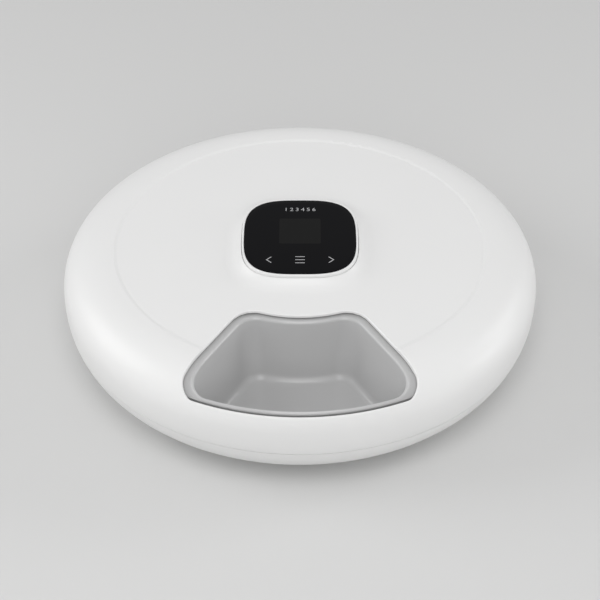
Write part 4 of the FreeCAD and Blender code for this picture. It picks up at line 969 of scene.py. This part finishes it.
foot = {
    "radius": 9.0,
    "high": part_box("rubber_feet")[1].z / mm,
    "ring": 92.0,
    "count": 6,
    "first": 30.0,           # degrees
    "edge": 0.8,
    "ribs": 3,               # grip rings underneath
    "ribFirst": 2.2,         # radius of the innermost
    "ribPitch": 2.1,
    "ribDeep": 0.3,
    "ribHalf": (0.45, 0.75),           # half a rib's width at its top and at its foot
    "columns": 48,
}


def makeFeet(material, tree):
    (narrow, wide), deep = foot["ribHalf"], foot["ribDeep"]
    outline = [(pinHole, deep)]
    for rib in range(foot["ribs"]):
        middle = foot["ribFirst"] + rib * foot["ribPitch"]
        outline += [(middle - wide, deep), (middle - narrow, 0), (middle + narrow, 0), (middle + wide, deep)]
    outline += [(foot["radius"] - down, inwards) for inwards, down in roundSteps(foot["edge"])]
    outline += [(foot["radius"], foot["high"]), (pinHole, foot["high"])]
    values = {"Count": foot["count"], "Radius": foot["ring"] * mm, "First Angle": radians(foot["first"]),
              "Material": material}
    pattern = lathe("foot", outline, foot["columns"])
    return finishMesh(runTree("rubberFeet", tree, values, pattern), material, smoothBelow=30)


screw = {
    "kinds": {
        "baseScrews": {"node": "base_screws", "headUp": False, "ring": 104.0,
                       "turns": (0, 50, 130, 180, 230, 310),
                       "shank": 1.5, "head": 2.8, "thick": 1.6, "slot": 3.1},
        "coverScrews": {"node": "cover_screws", "headUp": True, "ring": head["screwRing"],
                        "turns": head["screwTurns"],
                        "shank": 1.0, "head": 1.9, "thick": 0.9, "slot": 2.1},
    },
    "dome": 0.45,            # the domed share of a head's thickness, and the depth of its cross
    "domeFrom": 1.45,        # how far down the dome's curve starts, in radians
    "domeSteps": 6,
    "slotWide": 0.13,        # half width of the cross, as a share of its length
    "tip": (0.4, 0.5),       # the shank's chamfer, inwards and along
    "columns": 32,
    "turn": 3.14,            # the crosses are turned by up to this much, in radians
    "seed": 3,
}


def screwPattern(kind, length):
    # a pan head with a cross recess and a plain shank; the outermost of the head is at height 0
    wide, shank, thick, deep = kind["head"], kind["shank"], kind["thick"], kind["thick"] * screw["dome"]
    inwards, along = screw["tip"]
    dome = [(wide * cos(a) ** 0.5, deep * (1 - sin(a)))
            for a in np.linspace(screw["domeFrom"], 0.0, screw["domeSteps"])]
    outline = [(pinHole, 0.0), *dome, (wide, thick), (shank, thick), (shank, length - along),
               (shank - inwards, length), (pinHole, length)]
    half, narrow = kind["slot"] / 2, kind["slot"] * screw["slotWide"]
    pattern = cutAway(lathe("screw", outline, screw["columns"]),
                      boxTool((-half, -narrow, -past), (half, narrow, deep)),
                      boxTool((-narrow, -half, -past), (narrow, half, deep)))
    if kind["headUp"]:
        pattern.data.transform(Matrix.Diagonal((1, 1, -1, 1)))
        finishMesh(pattern, None, smoothBelow=30)
    return pattern


def makeScrews(name, kind, material, tree):
    low, high = (corner.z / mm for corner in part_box(kind["node"]))
    pattern = screwPattern(kind, high - low)
    level = high if kind["headUp"] else low
    places = [(x * mm, y * mm, level * mm) for x, y in spotsRound(kind["ring"], kind["turns"])]
    spots = bpy.data.meshes.new(name)
    spots.from_pydata(places, [], [])
    values = {"Pattern": pattern, "Turn": screw["turn"], "Seed": screw["seed"], "Material": material}
    piece = runTree(name, tree, values, addObject(name, spots))
    bpy.data.objects.remove(pattern)
    return finishMesh(piece, material, smoothBelow=30)


# finishes: what more than one of them uses is a shader group

def newShaderGroup(name, inputs, output, kind):
    # inputs: name -> value
    group = bpy.data.node_groups.new(name, "ShaderNodeTree")
    for label, value in inputs.items():
        wanted = "Float" if isinstance(value, float) else {3: "Vector", 4: "Color"}[len(value)]
        socket = group.interface.new_socket(label, in_out="INPUT", socket_type="NodeSocket" + wanted)
        socket.default_value = value
    group.interface.new_socket(output, in_out="OUTPUT", socket_type="NodeSocket" + kind)
    return group, group.nodes.new("NodeGroupInput").outputs, group.nodes.new("NodeGroupOutput").inputs[output]


def noiseNode(tree, vector, scale, detail=3.0, rough=0.55):
    return addNode(tree, "ShaderNodeTexNoise", Vector=vector, Scale=scale, Detail=detail,
                   Roughness=rough).outputs[0]


def rangeNode(tree, value, low, high, fromLow=0.3, fromHigh=0.7):
    return addNode(tree, "ShaderNodeMapRange", {"clamp": True}, Value=value, From_Min=fromLow,
                   From_Max=fromHigh, To_Min=low, To_Max=high).outputs[0]


def mixColour(tree, share, first, second):
    # the sockets go by number, because the node has an A, a B and a Result for each kind of value
    node = addNode(tree, "ShaderNodeMix", {"data_type": "RGBA"}, Factor=share)
    connect(tree, node, 6, first)
    connect(tree, node, 7, second)
    return node.outputs[2]


def mouldedSkinGroup():
    # fine spark-eroded grain with a slow wave under it, as a height
    group, given, result = newShaderGroup("Moulded Skin", {
        "Vector": (0.0, 0.0, 0.0), "Grain Scale": 1400.0, "Wave Scale": 26.0, "Wave Share": 0.5},
        "Height", "Float")
    fine = noiseNode(group, given["Vector"], given["Grain Scale"], detail=2.0)
    slow = noiseNode(group, given["Vector"], given["Wave Scale"], detail=1.0)
    wave = mathNode(group, "MULTIPLY", slow, given["Wave Share"])
    group.links.new(mathNode(group, "ADD", fine, wave), result)
    return group


def handlingGroup():
    # roughness that changes a little where hands and cloths have been
    group, given, result = newShaderGroup("Handling Marks", {
        "Vector": (0.0, 0.0, 0.0), "Scale": 22.0, "Polished": 0.3, "Dull": 0.4, "Streaks": 0.3,
        "Streak Scale": 9.0, "Stretch": (1.0, 0.12, 1.0)}, "Roughness", "Float")
    patches = noiseNode(group, given["Vector"], given["Scale"], detail=4.0, rough=0.6)
    stretched = addNode(group, "ShaderNodeMapping", Vector=given["Vector"], Scale=given["Stretch"]).outputs[0]
    streakScale = mathNode(group, "MULTIPLY", given["Scale"], given["Streak Scale"])
    wiped = noiseNode(group, stretched, streakScale, detail=2.0)
    rest = mathNode(group, "MULTIPLY", patches, mathNode(group, "SUBTRACT", 1.0, given["Streaks"]))
    mixed = mathNode(group, "ADD", rest, mathNode(group, "MULTIPLY", wiped, given["Streaks"]))
    group.links.new(rangeNode(group, mixed, given["Polished"], given["Dull"]), result)
    return group


def toneGroup():
    # a colour that drifts slightly between two close tones, with a little dust that has settled low down
    group, given, result = newShaderGroup("Tone Drift", {
        "Vector": (0.0, 0.0, 0.0), "Scale": 14.0, "Colour A": (0.8, 0.8, 0.8, 1.0),
        "Colour B": (0.8, 0.8, 0.8, 1.0), "Dust": (0.6, 0.58, 0.54, 1.0), "Dust Top": 0.0, "Dust Share": 0.0,
        "Dust Fade": 0.012, "Speck Scale": 420.0}, "Color", "Color")
    drift = rangeNode(group, noiseNode(group, given["Vector"], given["Scale"]), 0.0, 1.0)
    tone = mixColour(group, drift, given["Colour A"], given["Colour B"])
    height = addNode(group, "ShaderNodeSeparateXYZ", Vector=given["Vector"]).outputs["Z"]
    below = mathNode(group, "SUBTRACT", given["Dust Top"], height)
    near = rangeNode(group, below, 0.0, given["Dust Share"], fromLow=0.0, fromHigh=given["Dust Fade"])
    speck = noiseNode(group, given["Vector"], given["Speck Scale"], detail=4.0, rough=0.7)
    speck = rangeNode(group, speck, low=0.3, high=1.0, fromLow=0.4, fromHigh=0.62)
    group.links.new(mixColour(group, mathNode(group, "MULTIPLY", near, speck), tone, given["Dust"]), result)
    return group


shared = {"skin": mouldedSkinGroup(), "handling": handlingGroup(), "tone": toneGroup()}

# slot: name, linear colour, roughness from polished to dull, how far the tone drifts, and what else differs;
# grain, wave and dustTop are lengths in mm
looks = {
    "shell_white": ("shellWhite", (0.80, 0.80, 0.795), (0.34, 0.42), 0.006, dict(
        grain=0.012, grainScale=1700.0, wave=0.03, waveScale=18.0, toneScale=9.0, dustTop=9.0,
        dustShare=0.10)),
    "inner_white": ("innerWhite", (0.74, 0.74, 0.72), (0.45, 0.55), 0.01, dict(
        grain=0.015, grainScale=1200.0)),
    "tray_grey": ("trayGrey", (0.5, 0.5, 0.5), (0.15, 0.2), 0.012, dict(
        grain=0.012, grainScale=1300.0, toneScale=18.0, marksScale=30.0)),
    "lock_grey": ("lockGrey", (0.34, 0.34, 0.335), (0.4, 0.5), 0.015, dict(grain=0.012, grainScale=1500.0)),
    "gear_plastic": ("gearPlastic", (0.74, 0.71, 0.62), (0.32, 0.42), 0.02, dict(
        grain=0.006, grainScale=900.0)),
    "rubber_grey": ("rubberGrey", (0.075, 0.075, 0.078), (0.7, 0.85), 0.06, dict(
        specular=0.3, grain=0.03, grainScale=1100.0, dustTop=1.2, dustShare=0.35)),
    "panel_black": ("glassBlack", (0.0027, 0.0027, 0.0036), (0.07, 0.11), 0.1, dict(
        specular=0.07, marksScale=30.0, streaks=0.15)),
    "steel": ("steelPlated", (0.60, 0.60, 0.61), (0.24, 0.36), 0.05, dict(
        metal=1.0, grain=0.006, grainScale=900.0, brushed=(1.0, 1.0, 0.15), toneScale=300.0,
        marksScale=400.0)),
    "motor_steel": ("motorSteel", (0.52, 0.53, 0.54), (0.28, 0.4), 0.04, dict(
        metal=1.0, grain=0.01, grainScale=600.0, brushed=(1.0, 1.0, 0.06), toneScale=60.0, marksScale=120.0)),
    "spring_metal": ("springMetal", (0.68, 0.66, 0.62), (0.18, 0.28), 0.04, dict(
        metal=1.0, grain=0.004, grainScale=1500.0, toneScale=200.0)),
    "magnet_metal": ("magnetMetal", (0.66, 0.66, 0.68), (0.12, 0.2), 0.03, dict(
        metal=1.0, grain=0.003, grainScale=2000.0, toneScale=200.0)),
    "socket_metal": ("socketMetal", (0.58, 0.58, 0.60), (0.25, 0.35), 0.04, dict(
        metal=1.0, grain=0.005, grainScale=1200.0, toneScale=150.0)),
    "dark_plastic": ("darkPlastic", (0.03, 0.03, 0.033), (0.42, 0.55), 0.06, dict(
        grain=0.02, grainScale=1500.0)),
    "cell_wrap": ("cellWrap", (0.045, 0.055, 0.075), (0.2, 0.28), 0.05, dict(
        coat=0.5, coatRough=0.12, grain=0.006, grainScale=300.0, brushed=(1.0, 1.0, 0.2), toneScale=90.0)),
    "board_green": ("boardGreen", (0.012, 0.10, 0.035), (0.25, 0.35), 0.12, dict(
        coat=0.5, coatRough=0.2, grain=0.01, grainScale=800.0, brushed=(1.0, 0.12, 1.0), toneScale=260.0)),
    "display_dark": ("displayBlack", (0.0082, 0.0082, 0.0082), (0.10, 0.14), 0.05, dict(specular=0.07)),
    "ink": ("markInk", (0.42, 0.42, 0.43), (0.35, 0.45), 0.02, dict(grain=0.004, grainScale=2500.0)),
}


def makeFinish(name, colour, rough, drift, metal=0.0, coat=0.0, coatRough=0.1, specular=0.5, grain=0.0,
               grainScale=1400.0, wave=0.0, waveScale=26.0, toneScale=14.0, marksScale=22.0, streaks=0.3,
               dustTop=-1000.0, dustShare=0.0, brushed=None):
    # a procedural finish on Object coordinates
    material = bpy.data.materials.new(name)
    material.use_nodes = True
    tree = material.node_tree
    shader = tree.nodes["Principled BSDF"]
    place = addNode(tree, "ShaderNodeTexCoord").outputs["Object"]

    def fromGroup(key, vector, **values):
        node = addNode(tree, "ShaderNodeGroup", {"node_tree": shared[key]}, Vector=vector, **values)
        return node.outputs[0]

    darker = tuple(c * (1 - drift) for c in colour) + (1.0,)
    lighter = tuple(min(1.0, c * (1 + drift)) for c in colour) + (1.0,)
    tone = fromGroup("tone", place, Scale=toneScale, Colour_A=darker, Colour_B=lighter, Dust_Top=dustTop * mm,
                     Dust_Share=dustShare)
    marks = fromGroup("handling", place, Scale=marksScale, Polished=rough[0], Dull=rough[1], Streaks=streaks)
    setInputs(tree, shader, Base_Color=tone, Roughness=marks, Metallic=metal, Specular_IOR_Level=specular,
              Coat_Weight=coat, Coat_Roughness=coatRough)
    if grain:
        if brushed:
            place = addNode(tree, "ShaderNodeMapping", Vector=place, Scale=brushed).outputs[0]
        height = fromGroup("skin", place, Grain_Scale=grainScale, Wave_Scale=waveScale,
                           Wave_Share=wave / grain)
        bump = addNode(tree, "ShaderNodeBump", Strength=1.0, Distance=grain * mm, Height=height)
        setInputs(tree, shader, Normal=bump.outputs[0])
    return material


print("making finishes")
finishes = {slot: makeFinish(*look, **more) for slot, (*look, more) in looks.items()}
for part in frame["record"]["subparts"]:
    for slot in frame["nodes"][part["node"]].material_slots:
        slot.material = finishes[part["material_slot"]]


def settle(piece, rides, slot, *nodes):
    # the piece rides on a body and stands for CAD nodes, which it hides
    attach(piece, rides)
    if nodes:
        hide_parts(*nodes)


print("making the lid")
settle(makeLid(finishes["shell_white"]), "lid", "shell_white", "lid")
print("making the food tray")
aroundAxis, onSpots = roundAxisTree(), atSpotsTree()
settle(makeTray(finishes["tray_grey"], aroundAxis), "tray", "tray_grey", "food_tray")
print("making the control head")
settle(makeHead(finishes["shell_white"]), "base", "shell_white", "head_shell")
settle(makeGlass(finishes["panel_black"]), "base", "panel_black", "glass_panel")
settle(makeWindow(finishes["display_dark"]), "base", "display_dark")
settle(makeMarks(finishes["ink"]), "base", "display_dark")
print("making feet and screws")
settle(makeFeet(finishes["rubber_grey"], aroundAxis), "base", "rubber_grey", "rubber_feet")
for name, kind in screw["kinds"].items():
    settle(makeScrews(name, kind, finishes["steel"], onSpots), "base", "steel", kind["node"])


# floor, light and camera

studio = {
    "floorSize": 24.0,
    "floorGap": 0.0001,      # keeps the floor off the feet's lowest faces
    # the floor's finish is written as the looks are
    "floorLook": ("floorPaint", (0.66, 0.66, 0.655), (0.6, 0.7), 0.004, dict(toneScale=3.0, specular=0.2)),
    "fade": (0.55, 1.9),     # the floor turns into the backdrop between these distances
    "backdrop": (0.64, 0.64, 0.64, 1.0),
    "worldColour": (0.93, 0.93, 0.935, 1.0),
    "worldLight": 0.555,
    "lens": 104.07,
    "sensor": 36.0,
    "clip": (0.05, 50.0),
    "cameraAt": (0.0, -0.9292, 0.7839),
    "lookAt": (0.0, -0.0598, 0.0778),
    "lampsFace": (0.0, 0.0, 0.05),
    # name: place, size, watts
    "lamps": {
        "frontLamp": ((0.0, -1.55, 0.95), 1.2, 6.9),
        "topLamp": ((0.0, -0.75, 1.6), 0.8, 5.7),
        "leftLamp": ((-1.5, 0.1, 0.8), 1.2, 8.8),
        "rightLamp": ((1.8, 0.0, 0.35), 0.6, 3.6),
        "rightTopLamp": ((1.55, 0.45, 0.85), 0.7, 3.8),
    },
}


def aim(thing, place, target):
    thing.location = place
    thing.rotation_euler = (Vector(target) - Vector(place)).to_track_quat("-Z", "Y").to_euler()


def showBackdrop(tree, shader, output, glow, share=1.0):
    # the camera sees glow in place of shader, itself, in a reflection and through glass
    path = addNode(tree, "ShaderNodeLightPath")
    seen = path.outputs["Is Camera Ray"]
    for label in ("Is Glossy Ray", "Is Transmission Ray"):
        seen = mathNode(tree, "MAXIMUM", seen, path.outputs[label])
    blend = addNode(tree, "ShaderNodeMixShader")
    for number, value in enumerate((mathNode(tree, "MULTIPLY", seen, share), shader, glow.outputs[0])):
        tree.links.new(value, blend.inputs[number])
    tree.links.new(blend.outputs[0], tree.nodes[output].inputs["Surface"])


def makeFloor():
    half, level = studio["floorSize"] / 2, -studio["floorGap"]
    mesh = bpy.data.meshes.new("floor")
    mesh.from_pydata([(x * half, y * half, level) for y in (-1, 1) for x in (-1, 1)], [], [(0, 1, 3, 2)])
    *look, more = studio["floorLook"]
    material = makeFinish(*look, **more)
    mesh.materials.append(material)
    tree = material.node_tree
    away = addNode(tree, "ShaderNodeVectorMath", {"operation": "LENGTH"},
                   Vector=addNode(tree, "ShaderNodeTexCoord").outputs["Object"])
    far = rangeNode(tree, away.outputs["Value"], 0.0, 1.0, *studio["fade"])
    glow = addNode(tree, "ShaderNodeEmission", Color=studio["backdrop"], Strength=1.0)
    showBackdrop(tree, tree.nodes["Principled BSDF"].outputs[0], "Material Output", glow, far)
    addObject("floor", mesh)


def makeLight():
    for name, (place, size, watts) in studio["lamps"].items():
        lamp = bpy.data.lights.new(name, "AREA")
        lamp.shape = "DISK"
        lamp.size = size
        lamp.energy = watts
        aim(addObject(name, lamp), place, studio["lampsFace"])
    scene.world = bpy.data.worlds.new("studio")
    scene.world.use_nodes = True
    tree = scene.world.node_tree
    sky = setInputs(tree, tree.nodes["Background"], Color=studio["worldColour"],
                    Strength=studio["worldLight"])
    wall = addNode(tree, "ShaderNodeBackground", Color=studio["backdrop"], Strength=1.0)
    showBackdrop(tree, sky.outputs[0], "World Output", wall)


def makeCamera():
    lens = bpy.data.cameras.new("camera")
    lens.lens, lens.sensor_width = studio["lens"], studio["sensor"]
    lens.clip_start, lens.clip_end = studio["clip"]
    scene.camera = addObject("camera", lens)
    aim(scene.camera, studio["cameraAt"], studio["lookAt"])


print("setting floor, light and camera")
makeFloor()
makeLight()
makeCamera()
scene.view_settings.view_transform = "Standard"
for orphan in [m for m in bpy.data.meshes if not m.users]:
    bpy.data.meshes.remove(orphan)
